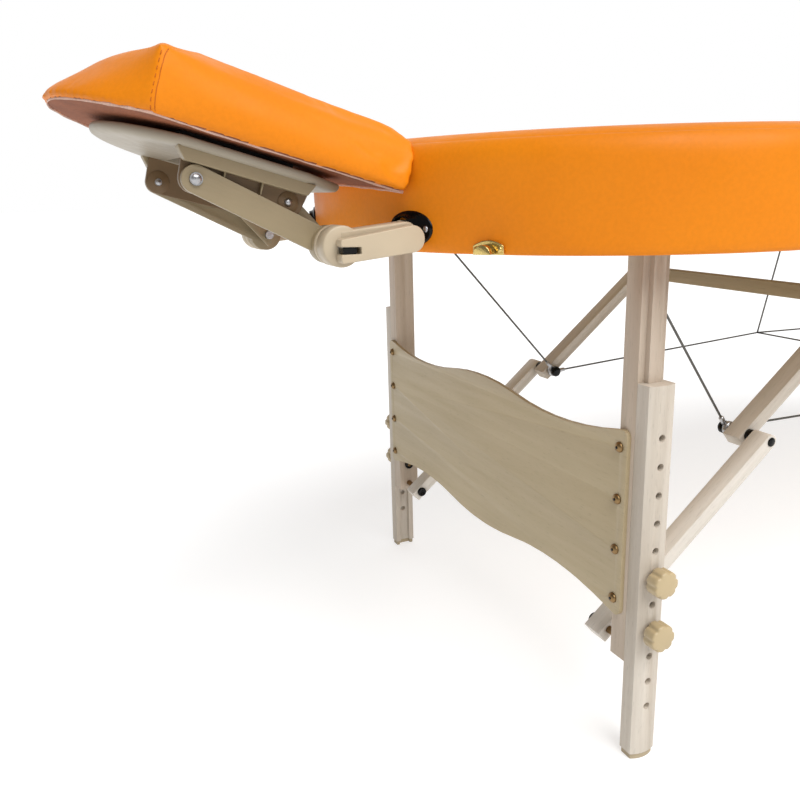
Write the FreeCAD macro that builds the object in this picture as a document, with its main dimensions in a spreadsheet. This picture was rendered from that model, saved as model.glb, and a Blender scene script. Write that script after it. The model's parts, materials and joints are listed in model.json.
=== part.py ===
"""Folding wooden treatment table with a tilting headrest, as separate pieces in one frame.

Millimetres. +X runs from the headrest to the foot end, +Y to the left side, +Z up from the floor.
The two halves of the top mirror each other about the fold line, so lengths are measured from it.
"""
import FreeCAD, Part
import math
import os
import re
import Sketcher
from FreeCAD import Placement, Rotation, Vector

SIZES = {
    # Table top
    "fold_x": 148,
    "fold_gap": 0.5,
    "half_width": 382,
    "corner_radius": 326,
    "end_radius": 437,
    "side_length": 604,
    "underside": 545,
    "rail_base": 549,
    "deck_base": 600,
    "deck_thick": 5,
    "pad_top": 657,
    "cover_thick": 3,
    "rail_thick": 18,
    "rail_set_back": 1,
    "side_gap": 0.3,
    "running_gap": 0.06,
    "overshoot": 1,
    # Fold hinge
    "hinge_half": 330,
    "hinge_radius": 3.6,
    "hinge_pin": 2,
    "hinge_height": 545.3,
    "leaf_start": 4.2,
    "leaf_wide": 16,
    "leaf_thick": 1.5,
    "knuckle_gap": 0.4,
    "web_lap": 1,
    # Legs
    "leg_reach": 735,
    "pivot_height": 572,
    "pivot_radius": 5,
    "leg_depth": 32,
    "leg_inner": 275,
    "leg_outer": 297,
    "leg_end": 112,
    "tongue_wide": 16,
    "tongue_deep": 6,
    "lower_side": 314,
    "lower_crown": 318,
    "lower_top": 418,
    "hole_top": 365,
    "hole_pitch": 30,
    "hole_radius": 4,
    "foot_height": 7,
    "foot_inset": 1.2,
    "block_near": 40,
    "block_far": 20,
    "block_outer": 320,
    "block_base": 553,
    "block_gap": 1.5,
    "pivot_head": 6,
    "pivot_stop": 8,
    "bolt_recess": 1,
    # Knobs
    "knob_radius": 15,
    "knob_depth": 19,
    "knob_boss": 9,
    "knob_seat": 4,
    "knob_notch": 5,
    "knob_bite": 3.5,
    "knob_high": 215,
    "knob_low": 155,
    "nut_radius": 6,
    "nut_deep": 3,
    # Leg panel
    "panel_half": 292,
    "panel_thick": 5,
    "panel_top": 368,
    "panel_base": 163,
    "panel_round": 8,
    "wave_deep": 15,
    "wave_reach": 165,
    "screw_side": 281,
    "screw_top": 349,
    "screw_pitch": 56,
    "screw_head": 5,
    "screw_shank": 2,
    "screw_long": 22,
    "screw_dome": 2,
    # Braces
    "bolt_height": 122,
    "bolt_radius": 4,
    "joint_reach": 508,
    "joint_height": 307,
    "stay_reach": 170,
    "stay_height": 578,
    "arm_half": 8.5,
    "arm_tail": 13,
    "arm_tip": 14,
    "lower_arm_inner": 227.5,
    "lower_arm_outer": 252.5,
    "upper_arm_inner": 194,
    "upper_arm_outer": 219,
    "stretcher_reach": 308,
    "stretcher_base": 445,
    "stretcher_wide": 15,
    "stretcher_tall": 20,
    "stay_inner": 169,
    "stay_half": 26,
    # Cables
    "cable_radius": 1.1,
    "ferrule_radius": 2.6,
    "ferrule_long": 15,
    "cable_side": 184,
    "anchor_reach": 752,
    "anchor_side": 232,
    "node_side": 232,
    "node_height": 314,
    "hanger_side": 145,
    "hanger_reach": 28,
    # Headrest
    "head_rear": 931,
    "head_height": 604,
    "head_tilt": 17,
    "cushion_half": 163,
    "cushion_front": 246,
    "cushion_nose": 80,
    "cushion_hollow": 32,
    "cushion_rear": -3,
    "cushion_thick": 57,
    "platform_half": 130,
    "platform_rear": 50,
    "platform_front": 210,
    "platform_nose": 70,
    "platform_corner": 20,
    "platform_flank": 40,
    "platform_top": 6,
    "platform_thick": 8,
    "strip_inner": 45,
    "strip_outer": 108,
    "strip_start": 100,
    "bracket_inner": 104,
    "bracket_outer": 111.4,
    "bracket_front": 18,
    "bracket_back": 13,
    "bracket_drop": 13,
    "arm_inner": 111.8,
    "arm_outer": 121,
    "ring_outer": 130.6,
    "ring_radius": 19,
    "hub_reach": 999,
    "hub_height": 555,
    "hub_bolt": 5,
    "hub_nut": 4,
    "hub_end": 172,
    "rivet_reach": 1125,
    "rivet_height": 621,
    "rivet_radius": 4,
    "rivet_lap": 2,
    "rivet_dome": 3,
    "rear_screw_reach": 1036,
    "rear_screw_height": 597,
    "link_inner": 98.6,
    "link_half": 10,
    "bar_half": 13,
    "knuckle_radius": 20,
    "knuckle_inner": 131,
    "knuckle_outer": 160,
    "prong_side": 140.5,
    "prong_height": 568,
    "prong_radius": 9,
    "prong_root": 992,
    "prong_tip": 868,
    "socket_radius": 12.5,
    "socket_face": 924,
    "socket_back": 866,
    "flange_radius": 19.5,
    "flange_thick": 8,
    "drill_past": 30,
    # Cam levers
    "lever_inner": 162.3,
    "lever_outer": 176.3,
    "lever_long": 81,
    "lever_half": 12,
    "lever_back": 3,
    "fork_half": 5.5,
    "fork_long": 12,
    "fork_pin": 1.6,
    # Latches
    "latch_angle": 32.4,
    "latch_base": 546,
    "latch_wide": 17,
    "latch_tall": 17,
    "latch_ear": 6,
    "latch_plate": 2,
    "latch_round": 9,
    "latch_long": 13,
}

HOLE_COUNT = 11
KNOB_LOBES = 7
HINGE_KNUCKLES = 11
SCREWS_PER_LEG = 4
ENDS = ("head", "foot")
SIDES = ("left", "right")
TURN = {"x": Rotation(Vector(0, 1, 0), 90), "y": Rotation(Vector(1, 0, 0), -90), "z": Rotation()}
HALF_TURN = Rotation(Vector(0, 0, 1), 180)
WORD = re.compile(r"[a-z_][a-z_0-9]*")

doc = FreeCAD.newDocument("treatment_table")
sheet = doc.addObject("Spreadsheet::Sheet", "Sizes")
for row, (alias, size) in enumerate(SIZES.items(), start=1):
    sheet.set(f"A{row}", alias)
    sheet.set(f"B{row}", str(size))
    sheet.setAlias(f"B{row}", alias)
doc.recompute()

nodes = []


# Helpers

def named(expression):
    """The expression with the sheet's name in front of each of its sizes."""
    return WORD.sub(lambda word: f"Sizes.{word[0]}" if word[0] in SIZES else word[0], str(expression))


def number(expression):
    found = sheet.evalExpression(named(expression))
    return float(getattr(found, "Value", found))


def bind(item, prop, expression):
    item.setExpression(prop, named(expression))


def keep(item):
    """Marks an object as a finished piece of the table."""
    nodes.append(item)
    return item


def along(end, near, far):
    """Low and high X of a stretch that lies between two distances from the fold line."""
    if end == "foot":
        return f"fold_x + ({near})", f"fold_x + ({far})"
    return f"fold_x - ({far})", f"fold_x - ({near})"


def at_reach(end, reach):
    return f"fold_x + ({reach})" if end == "foot" else f"fold_x - ({reach})"


def across(side, inner, outer):
    """Low and high Y of a stretch that lies between two distances from the midline."""
    if side == "left":
        return f"({inner})", f"({outer})"
    return f"-({outer})", f"-({inner})"


def at_side(side, distance):
    return f"({distance})" if side == "left" else f"-({distance})"


def block(label, x_span, y_span, z_span):
    item = doc.addObject("Part::Box", label)
    spans = zip("xyz", ("Length", "Width", "Height"), (x_span, y_span, z_span))
    for axis, prop, (low, high) in spans:
        bind(item, prop, f"({high}) - ({low})")
        bind(item, f"Placement.Base.{axis}", low)
    return item


def rod(label, axis, radius, span, place):
    """A round bar along one axis; place gives its other two coordinates in order."""
    item = doc.addObject("Part::Cylinder", label)
    item.Placement = Placement(Vector(), TURN[axis])
    low, high = span
    bind(item, "Radius", radius)
    bind(item, "Height", f"({high}) - ({low})")
    others = iter(place)
    for name in "xyz":
        bind(item, f"Placement.Base.{name}", low if name == axis else next(others))
    return item


def cut(label, base, tools):
    tool = tools[0]
    if len(tools) > 1:
        tool = fuse(f"{label}_cutter", tools)
    item = doc.addObject("Part::Cut", label)
    item.Base = base
    item.Tool = tool
    return item


def fuse(label, items):
    item = doc.addObject("Part::MultiFuse", label)
    item.Shapes = items
    return item


def group(label, items):
    """Several separate solids in one node."""
    item = doc.addObject("Part::Compound", label)
    item.Links = items
    return item


def new_sketch(body, name, plane, lift):
    sketch = body.newObject("Sketcher::SketchObject", name)
    origin = [item for item in body.Origin.OriginFeatures if item.Role == f"{plane}_Plane"]
    sketch.AttachmentSupport = [(origin[0], "")]
    sketch.MapMode = "FlatFace"
    bind(sketch, "AttachmentOffset.Base.z", lift)
    return sketch


def fix_point(sketch, edge, point, across_by, up_by):
    for kind, expression in (("DistanceX", across_by), ("DistanceY", up_by)):
        held = Sketcher.Constraint(kind, -1, 1, edge, point, number(expression))
        index = sketch.addConstraint(held)
        sketch.setExpression(f"Constraints[{index}]", named(expression))


def fix_radius(sketch, edge, expression):
    index = sketch.addConstraint(Sketcher.Constraint("Radius", edge, number(expression)))
    sketch.setExpression(f"Constraints[{index}]", named(expression))


def add_circle(sketch, across_by, up_by, radius):
    centre = Vector(number(across_by), number(up_by), 0)
    edge = sketch.addGeometry(Part.Circle(centre, Vector(0, 0, 1), number(radius)), False)
    fix_point(sketch, edge, 3, across_by, up_by)
    fix_radius(sketch, edge, radius)


def add_edge(sketch, first, last, radius, bulge):
    """Adds a line or an arc and returns the ends, as point numbers, of its way round."""
    if radius is None:
        sketch.addGeometry(Part.LineSegment(first, last), False)
        return 1, 2
    size = number(radius)
    chord = last - first
    leftward = Vector(-chord.y, chord.x, 0).normalize()
    depth = math.sqrt(size ** 2 - (chord.Length / 2) ** 2)
    centre = (first + last) * 0.5 - leftward * depth * bulge
    start, stop = (last, first) if bulge > 0 else (first, last)
    start_angle = math.atan2(start.y - centre.y, start.x - centre.x)
    stop_angle = math.atan2(stop.y - centre.y, stop.x - centre.x)
    if stop_angle < start_angle:
        stop_angle += 2 * math.pi
    circle = Part.Circle(centre, Vector(0, 0, 1), size)
    sketch.addGeometry(Part.ArcOfCircle(circle, start_angle, stop_angle), False)
    return (2, 1) if bulge > 0 else (1, 2)


def profile(body, name, plane, corners, lift="0", holes=()):
    """A closed outline on one of the body's planes.

    A corner is (across, up), or (across, up, radius, bulge) where the edge to the next corner is an arc
    that swells to the left of the way round (bulge 1) or to the right (bulge -1).
    """
    sketch = new_sketch(body, name, plane, lift)
    points = [Vector(number(corner[0]), number(corner[1]), 0) for corner in corners]
    count = len(corners)
    ends = []
    for index, corner in enumerate(corners):
        radius, bulge = corner[2:] if len(corner) > 2 else (None, 0)
        ends.append(add_edge(sketch, points[index], points[(index + 1) % count], radius, bulge))
    for index, corner in enumerate(corners):
        following = (index + 1) % count
        joined = Sketcher.Constraint("Coincident", index, ends[index][1], following, ends[following][0])
        sketch.addConstraint(joined)
        fix_point(sketch, index, ends[index][0], corner[0], corner[1])
        if len(corner) > 2:
            fix_radius(sketch, index, corner[2])
    for hole in holes:
        add_circle(sketch, *hole)
    return sketch


def extrude(label, plane, corners, span, holes=()):
    """A plate with the given outline; span is its extent across the plane."""
    body = doc.addObject("PartDesign::Body", label)
    low, high = span
    lift = f"-({high})" if plane == "XZ" else low
    outline = profile(body, f"{label}_outline", plane, corners, lift, holes)
    pad = body.newObject("PartDesign::Pad", f"{label}_pad")
    pad.Profile = outline
    bind(pad, "Length", f"({high}) - ({low})")
    return body


def loft(label, levels):
    """A soft form through level outlines, each given with its height."""
    body = doc.addObject("PartDesign::Body", label)
    sections = []
    for index, (corners, height) in enumerate(levels):
        sections.append(profile(body, f"{label}_level_{index}", "XY", corners, height))
    form = body.newObject("PartDesign::AdditiveLoft", f"{label}_loft")
    form.Profile = sections[0]
    form.Sections = sections[1:]
    form.Ruled = True
    return body


def round_end(reach, half):
    """Corners of a half-round end, as two quarter arcs that swell away from the piece."""
    return [(reach, f"-({half})", half, -1), (f"({reach}) + ({half})", "0", half, -1), (reach, half)]


def bar(label, y_span, length, half, tail, holes):
    """A flat bar along its own X: square behind its first pivot, round past its second one."""
    corners = [(f"-({tail})", f"-({half})")] + round_end(length, half) + [(f"-({tail})", half)]
    return extrude(label, "XZ", corners, y_span, holes)


def swing(item, x, z, angle):
    """Places a bar with its first pivot at x, z, turned up by an angle about Y."""
    item.Placement = Placement(Vector(), Rotation(Vector(0, 1, 0), 1))
    bind(item, "Placement.Base.x", x)
    bind(item, "Placement.Base.z", z)
    bind(item, "Placement.Rotation.Angle", angle)
    return item


# Table top

END_CENTRE = "(side_length - sqrt((end_radius - corner_radius)^2 - (half_width - corner_radius)^2))"
BLEND = "(end_radius - corner_radius)"
WALL = "cover_thick + rail_thick"


def top_edge(end, inset, start):
    """One half's outline from the right side, round the end, to the left side, drawn in by inset."""
    bulge = -1 if end == "foot" else 1
    side = f"half_width - ({inset})"
    scale = f"(end_radius - ({inset})) / {BLEND}"
    meet_x = at_reach(end, f"{END_CENTRE} + {scale} * (side_length - {END_CENTRE})")
    meet_y = f"({scale} * (half_width - corner_radius))"
    begin = at_reach(end, start)
    turn = at_reach(end, "side_length")
    corner = f"corner_radius - ({inset})"
    return [
        (begin, f"-({side})"),
        (turn, f"-({side})", corner, bulge),
        (meet_x, f"-{meet_y}", f"end_radius - ({inset})", bulge),
        (meet_x, meet_y, corner, bulge),
        (turn, side),
        (begin, side),
    ]


def reversed_edge(corners):
    """The same corners walked backwards, with every arc swelling to the other hand."""
    back = []
    count = len(corners)
    for index in range(count - 1, -1, -1):
        before = corners[index - 1] if index else ()
        arc = (before[2], -before[3]) if len(before) > 2 else ()
        back.append(corners[index][:2] + arc)
    return back


def band(label, end, outer, inner, start, z_span):
    """An upright band that follows the outline between two insets."""
    outside = top_edge(end, outer, start)
    inside = reversed_edge(top_edge(end, inner, start))
    if start == "side_length":
        outside = outside[1:-1]
        inside = inside[1:-1]
    return extrude(label, "XY", outside + inside, z_span)


# Levels of a pad's edge: depth below the top, how far the outline draws in, how far the fold face does
PAD_LEVELS = ((26, -1.5, 0), (12, 0.5, 0), (6, 4, 1.5), (2, 10, 4), (0, 20, 9), (-2, 60, 40), (-3, 150, 110))


def make_pad(end):
    """The foam pad in its cover: slightly full sides, a rolled top edge and a low crown."""
    levels = [(top_edge(end, "0", "fold_gap"), "deck_base + deck_thick")]
    for depth, inset, back in PAD_LEVELS:
        levels.append((top_edge(end, str(inset), f"fold_gap + {back}"), f"pad_top - {depth}"))
    keep(loft(f"{end}_pad", levels))


def socket_holes(label, end):
    """Round openings in the head end for the headrest sockets."""
    x_span = along(end, "socket_back - drill_past", "socket_face + drill_past")
    radius = "socket_radius + side_gap"
    return [rod(f"{label}_{side}", "x", radius, x_span, (at_side(side, "prong_side"), "prong_height"))
            for side in SIDES]


def make_half(end):
    rails = ("rail_base", "deck_base")
    cover = band(f"{end}_cover_band", end, "0", "cover_thick", "fold_gap",
                 ("underside", "deck_base + deck_thick"))
    end_rail = band(f"{end}_rail_band", end, "cover_thick", WALL, "side_length", rails)
    if end == "head":
        cover = cut("head_side_cover", cover, socket_holes("cover_hole", end))
        end_rail = cut("head_end_rail", end_rail, socket_holes("rail_hole", end))
    cover.Label = f"{end}_side_cover"
    end_rail.Label = f"{end}_end_rail"
    keep(cover)
    keep(end_rail)
    side_rails = []
    for side in SIDES:
        x_span = along(end, "rail_thick + rail_set_back", "side_length")
        y_span = across(side, f"half_width - ({WALL})", "half_width - cover_thick")
        side_rails.append(block(f"{end}_{side}_rail", x_span, y_span, rails))
    keep(group(f"{end}_side_rails", side_rails))
    width = "half_width - cover_thick"
    keep(block(f"{end}_fold_rail", along(end, "rail_set_back", "rail_thick + rail_set_back"),
               (f"-({width})", width), rails))
    deck = extrude(f"{end}_deck", "XY", top_edge(end, "cover_thick", "rail_set_back"),
                   ("deck_base", "deck_base + deck_thick"))
    keep(deck)
    keep(group(f"{end}_pivot_blocks", pivot_blocks(end)))
    make_pad(end)


def pivot_blocks(end):
    """Blocks under the deck that carry the leg pivots and the upper ends of the braces."""
    blocks = []
    x_span = along(end, "leg_reach - block_near", "leg_reach + block_far")
    stay_span = along(end, "stay_reach - stay_half", "stay_reach + stay_half")
    for side in SIDES:
        outer = across(side, "leg_outer + tongue_deep + block_gap", "block_outer")
        leg_block = block(f"{end}_{side}_leg_block", x_span, outer, ("block_base", "deck_base"))
        hole = rod(f"{end}_{side}_leg_block_hole", "y", "pivot_radius + running_gap", outer,
                   (at_reach(end, "leg_reach"), "pivot_height"))
        blocks.append(cut(f"{end}_{side}_leg_carrier", leg_block, [hole]))
        inner = across(side, "stay_inner", "upper_arm_inner - side_gap")
        stay = block(f"{end}_{side}_stay_block", stay_span, inner, ("block_base", "deck_base"))
        bolt = rod(f"{end}_{side}_stay_bolt", "y", "bolt_radius",
                   across(side, "upper_arm_inner - side_gap", "upper_arm_outer"),
                   (at_reach(end, "stay_reach"), "stay_height"))
        blocks.append(fuse(f"{end}_{side}_stay", [stay, bolt]))
    return blocks


def make_hinge():
    """Piano hinge under the fold rails: knuckles taken in turn by each leaf, on one pin."""
    step = f"2 * hinge_half / {HINGE_KNUCKLES}"
    centre = ("fold_x", "hinge_height")
    for number_of_end, end in enumerate(ENDS):
        leaf = block(f"{end}_leaf_plate", along(end, "leaf_start", "leaf_wide"),
                     ("-hinge_half", "hinge_half"), ("rail_base - leaf_thick", "rail_base"))
        knuckles = []
        for index in range(number_of_end, HINGE_KNUCKLES, 2):
            y_span = (f"-hinge_half + {index} * {step} + knuckle_gap",
                      f"-hinge_half + {index + 1} * {step} - knuckle_gap")
            knuckles.append(rod(f"{end}_knuckle_{index}", "y", "hinge_radius", y_span, centre))
            web_span = along(end, "0", "leaf_start + web_lap")
            height = ("hinge_height + hinge_pin + web_lap / 2", "rail_base")
            knuckles.append(block(f"{end}_web_{index}", web_span, y_span, height))
        solid = fuse(f"{end}_leaf_solid", [leaf] + knuckles)
        bore = rod(f"{end}_leaf_bore", "y", "hinge_pin + running_gap",
                   ("-hinge_half - overshoot", "hinge_half + overshoot"), centre)
        pieces = [cut(f"{end}_leaf", solid, [bore])]
        if end == "head":
            pieces.append(rod("fold_pin", "y", "hinge_pin", ("-hinge_half", "hinge_half"), centre))
        keep(group(f"{end}_hinge_leaf", pieces))


# Legs

def make_upper_leg(end, side):
    """Upper leg with the tongue that the lower leg slides on, drilled for its bolts and screws."""
    half = "leg_depth / 2"
    tongue = "tongue_wide / 2"
    outer = "leg_outer"
    tip = "leg_outer + tongue_deep"
    section = [(f"-{half}", "leg_inner"), (half, "leg_inner"), (half, outer), (tongue, outer),
               (tongue, tip), (f"-{tongue}", tip), (f"-{tongue}", outer), (f"-{half}", outer)]
    name = f"{end}_{side}_upper"
    stick = extrude(f"{name}_stick", "XY", section, ("leg_end", f"pivot_height + {half}"))
    place_at_corner(stick, end, side)
    x = at_reach(end, "leg_reach")
    y_span = across(side, "leg_inner - overshoot", f"{tip} + overshoot")
    drilled = [("pivot_height", "pivot_radius"), ("knob_high", "hole_radius"), ("knob_low", "hole_radius"),
               ("bolt_height", "bolt_radius")]
    holes = [rod(f"{name}_hole_{index}", "y", f"{radius} + running_gap", y_span, (x, height))
             for index, (height, radius) in enumerate(drilled)]
    face = f"leg_reach + {half}"
    x_span = along(end, f"{face} - screw_long", f"{face} + overshoot")
    for index in range(SCREWS_PER_LEG):
        place = (at_side(side, "screw_side"), f"screw_top - {index} * screw_pitch")
        holes.append(rod(f"{name}_screw_{index}", "x", "screw_shank + running_gap", x_span, place))
    return cut(f"{name}_leg", stick, holes)


def place_at_corner(item, end, side):
    """Sets a piece that was drawn on the left side at its own corner of the table."""
    if side == "right":
        item.Placement = Placement(Vector(), HALF_TURN)
    bind(item, "Placement.Base.x", at_reach(end, "leg_reach"))
    return item


def wave_edge(level, inward, direction):
    """The panel's waved edge: a hump in the middle between two dips, walked along direction."""
    waist = f"({level}) + {inward} * wave_deep / 2"
    radius = "(wave_reach^2 + wave_deep^2) / (4 * wave_deep)"
    steps = ((-1.5, 1), (-0.5, -1), (0.5, 1), (1.5, None))
    corners = []
    for factor, bulge in steps:
        arc = () if bulge is None else (radius, bulge)
        corners.append((f"{direction * factor} * wave_reach", waist) + arc)
    return corners


def make_panel(end):
    half = "panel_half"
    bottom = wave_edge("panel_base", 1, 1)
    top = wave_edge("panel_top", -1, -1)
    rounding = ("panel_round", -1)
    inside = f"{half} - panel_round"
    corners = [(f"-({inside})", "panel_base")] + bottom
    corners += [(inside, "panel_base") + rounding, (half, "panel_base + panel_round")]
    corners += [(half, "panel_top - panel_round") + rounding, (inside, "panel_top")] + top
    corners += [(f"-({inside})", "panel_top") + rounding, (f"-{half}", "panel_top - panel_round")]
    corners += [(f"-{half}", "panel_base + panel_round") + rounding]
    holes = []
    for side in SIDES:
        for index in range(SCREWS_PER_LEG):
            height = f"screw_top - {index} * screw_pitch"
            holes.append((at_side(side, "screw_side"), height, "screw_shank + running_gap"))
    face = "leg_reach + leg_depth / 2"
    keep(extrude(f"{end}_leg_panel", "YZ", corners, along(end, face, f"{face} + panel_thick"), holes))


def make_leg_fasteners(end):
    """Pivot bolts, brace bolts, knob nuts and panel screws of one leg frame."""
    pieces = []
    x = at_reach(end, "leg_reach")
    for side in SIDES:
        name = f"{end}_{side}"
        pieces.append(rod(f"{name}_pivot_bolt", "y", "pivot_radius",
                          across(side, "leg_inner - pivot_head", "block_outer - pivot_stop"),
                          (x, "pivot_height")))
        pieces.append(rod(f"{name}_brace_bolt", "y", "bolt_radius",
                          across(side, "lower_arm_inner", "leg_outer + tongue_deep - bolt_recess"),
                          (x, "bolt_height")))
        for height in ("knob_high", "knob_low"):
            shank = rod(f"{name}_{height}_bolt", "y", "hole_radius",
                        across(side, "leg_inner - nut_deep", "leg_outer + tongue_deep - bolt_recess"),
                        (x, height))
            nut = rod(f"{name}_{height}_nut", "y", "nut_radius",
                      across(side, "leg_inner - nut_deep", "leg_inner"), (x, height))
            pieces.append(fuse(f"{name}_{height}_stud", [shank, nut]))
        face = "leg_reach + leg_depth / 2 + panel_thick"
        for index in range(SCREWS_PER_LEG):
            place = (at_side(side, "screw_side"), f"screw_top - {index} * screw_pitch")
            head = rod(f"{name}_head_{index}", "x", "screw_head",
                       along(end, face, f"{face} + screw_dome"), place)
            shank = rod(f"{name}_shank_{index}", "x", "screw_shank",
                        along(end, f"{face} - screw_long", face), place)
            pieces.append(fuse(f"{name}_panel_screw_{index}", [head, shank]))
    keep(group(f"{end}_leg_fasteners", pieces))


def channel(inset):
    """Section of a lower leg, a channel with a full outer face, drawn in by inset."""
    half = f"(leg_depth / 2 - {inset})"
    groove = f"(tongue_wide / 2 + side_gap + {inset})"
    inner = f"leg_outer + side_gap + {inset}"
    floor = f"leg_outer + tongue_deep + side_gap + {inset}"
    outer = f"lower_side - {inset}"
    crown = "(lower_crown - lower_side)"
    radius = f"({half}^2 + {crown}^2) / (2 * {crown})"
    return [(f"-{half}", inner), (f"-{groove}", inner), (f"-{groove}", floor), (groove, floor),
            (groove, inner), (half, inner), (half, outer, radius, -1), (f"-{half}", outer)]


def make_lower_leg(end, side):
    """Lower leg that slides on the tongue, with a row of holes, and the cap under it."""
    name = f"{end}_{side}_lower_leg"
    body = extrude(name, "XY", channel("0"), ("foot_height", "lower_top"))
    centre = new_sketch(body, f"{name}_hole", "XZ", "0")
    add_circle(centre, "0", "hole_top", "hole_radius")
    hole = body.newObject("PartDesign::Pocket", f"{name}_pocket")
    hole.Profile = centre
    hole.Type = "ThroughAll"
    row = body.newObject("PartDesign::LinearPattern", f"{name}_holes")
    row.Originals = [hole]
    row.Direction = (centre, ["V_Axis"])
    row.Reversed = True
    bind(row, "Length", f"hole_pitch * {HOLE_COUNT - 1}")
    row.Occurrences = HOLE_COUNT
    body.Tip = row
    keep(place_at_corner(body, end, side))
    cap = extrude(f"{end}_{side}_foot", "XY", channel("foot_inset"), ("0", "foot_height"))
    keep(place_at_corner(cap, end, side))


def make_knob(end, side, level):
    """Lobed clamping knob, drawn with its axis on the body's own Y and its seat at zero."""
    name = f"{end}_{side}_{level}"
    body = doc.addObject("PartDesign::Body", name)
    boss = new_sketch(body, f"{name}_boss", "XZ", "0")
    add_circle(boss, "0", "0", "knob_boss")
    seat = body.newObject("PartDesign::Pad", f"{name}_seat")
    seat.Profile = boss
    bind(seat, "Length", "knob_depth")
    rim = new_sketch(body, f"{name}_rim", "XZ", "knob_seat")
    add_circle(rim, "0", "0", "knob_radius")
    head = body.newObject("PartDesign::Pad", f"{name}_head")
    head.Profile = rim
    bind(head, "Length", "knob_depth - knob_seat")
    doc.recompute()
    dent = new_sketch(body, f"{name}_dent", "XZ", "0")
    add_circle(dent, "knob_radius + knob_bite", "0", "knob_notch")
    notch = body.newObject("PartDesign::Pocket", f"{name}_notch")
    notch.Profile = dent
    notch.Type = "ThroughAll"
    notch.Reversed = True
    lobes = body.newObject("PartDesign::PolarPattern", f"{name}_lobes")
    lobes.Originals = [notch]
    lobes.Axis = (dent, ["N_Axis"])
    lobes.Angle = 360
    lobes.Occurrences = KNOB_LOBES
    body.Tip = lobes
    if side == "left":
        body.Placement = Placement(Vector(), HALF_TURN)
    bind(body, "Placement.Base.x", at_reach(end, "leg_reach"))
    bind(body, "Placement.Base.y", at_side(side, "lower_crown + side_gap"))
    bind(body, "Placement.Base.z", level)
    keep(body)


def brace_turn(end, rise):
    """The turn of a brace that climbs by rise towards the fold."""
    return f"180 deg + {rise}" if end == "foot" else f"0 deg - {rise}"


def make_lower_brace(end, side):
    """Lower brace bar, from the leg to the middle joint."""
    bore = "bolt_radius + running_gap"
    span = "sqrt((leg_reach - joint_reach)^2 + (joint_height - bolt_height)^2)"
    brace = bar(f"{end}_{side}_lower_brace", across(side, "lower_arm_inner", "lower_arm_outer"), span,
                "arm_half", "arm_tail", [("0", "0", bore), (span, "0", bore)])
    rise = "atan2(joint_height - bolt_height; leg_reach - joint_reach)"
    keep(swing(brace, at_reach(end, "leg_reach"), "bolt_height", brace_turn(end, rise)))


def make_upper_braces(end):
    """Upper brace bars, from the middle joints to the deck, and the stretcher between them."""
    bore = "bolt_radius + running_gap"
    span = "sqrt((joint_reach - stay_reach)^2 + (stay_height - joint_height)^2)"
    rise = "atan2(stay_height - joint_height; joint_reach - stay_reach)"
    braces = []
    for side in SIDES:
        brace = bar(f"{end}_{side}_upper_brace", across(side, "upper_arm_inner", "upper_arm_outer"), span,
                    "arm_half", "arm_tip", [("0", "0", bore), (span, "0", bore)])
        braces.append(swing(brace, at_reach(end, "joint_reach"), "joint_height", brace_turn(end, rise)))
    keep(group(f"{end}_upper_braces", braces))
    stretcher = block(f"{end}_stretcher", along(end, "stretcher_reach", "stretcher_reach + stretcher_wide"),
                      ("-upper_arm_inner", "upper_arm_inner"),
                      ("stretcher_base", "stretcher_base + stretcher_tall"))
    keep(stretcher)


# Cables

def cable(name, start, stop, ferrule):
    """A taut steel cable between two points, with a crimped ferrule at its start if it has one."""
    first = Vector(*[number(size) for size in start])
    last = Vector(*[number(size) for size in stop])
    way = last - first
    solid = Part.makeCylinder(number("cable_radius"), way.Length, first, way)
    if ferrule:
        sleeve = Part.makeCylinder(number("ferrule_radius"), number("ferrule_long"), first, way)
        solid = solid.fuse(sleeve)
    item = doc.addObject("Part::Feature", name)
    item.Shape = solid
    return item


def make_cables():
    pieces = []
    clear = "cable_radius + side_gap"
    for side in SIDES:
        node = ("fold_x", at_side(side, "node_side"), "node_height")
        for end in ENDS:
            joint = (at_reach(end, "joint_reach"), at_side(side, "cable_side"), "joint_height")
            anchor = (at_reach(end, "anchor_reach"), at_side(side, "anchor_side"), f"deck_base - ({clear})")
            pieces.append(cable(f"{end}_{side}_leg_cable", joint, anchor, True))
            pieces.append(cable(f"{end}_{side}_fold_cable", joint, node, True))
        hanger = (at_reach("head", "hanger_reach"), at_side(side, "hanger_side"), f"deck_base - ({clear})")
        pieces.append(cable(f"{side}_hanger_cable", node, hanger, False))
    pieces.append(cable("cross_cable", ("fold_x", "-node_side", "node_height"),
                        ("fold_x", "node_side", "node_height"), False))
    keep(fuse("steel_cables", pieces))


# Headrest, drawn in its own frame from the rear lower edge of the cushion and then tilted

def tilt(item):
    return swing(item, at_reach("head", "head_rear"), "head_height", "head_tilt * 1 deg")


def cushion_outline(inset, nose):
    """Hollow rear edge, straight sides and a round front, drawn in by inset."""
    half = f"cushion_half - ({inset})"
    rear = f"-(cushion_rear + ({inset}))"
    front = f"-(cushion_front - ({inset}) / 3)"
    hollow = f"((({half})^2 + cushion_hollow^2) / (2 * cushion_hollow))"
    round_nose = f"((({half})^2 + ({nose})^2) / (2 * ({nose})))"
    return [(rear, f"-({half})", hollow, 1), (rear, half), (front, half, round_nose, -1),
            (front, f"-({half})")]


# Levels of the cushion: share of its thickness, how far the outline draws in, share of the nose
CUSHION_LEVELS = ((0, 6, 0.95), (0.11, 1, 1.03), (0.26, 0, 0.95), (0.48, 0, 0.8), (0.7, 2, 0.6),
                  (0.87, 6, 0.42), (0.96, 13, 0.3), (1, 24, 0.22), (1.05, 60, 0.15))


def make_cushion():
    levels = []
    for share, inset, nose in CUSHION_LEVELS:
        levels.append((cushion_outline(str(inset), f"cushion_nose * {nose}"), f"cushion_thick * {share}"))
    keep(tilt(loft("headrest_cushion", levels)))


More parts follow.
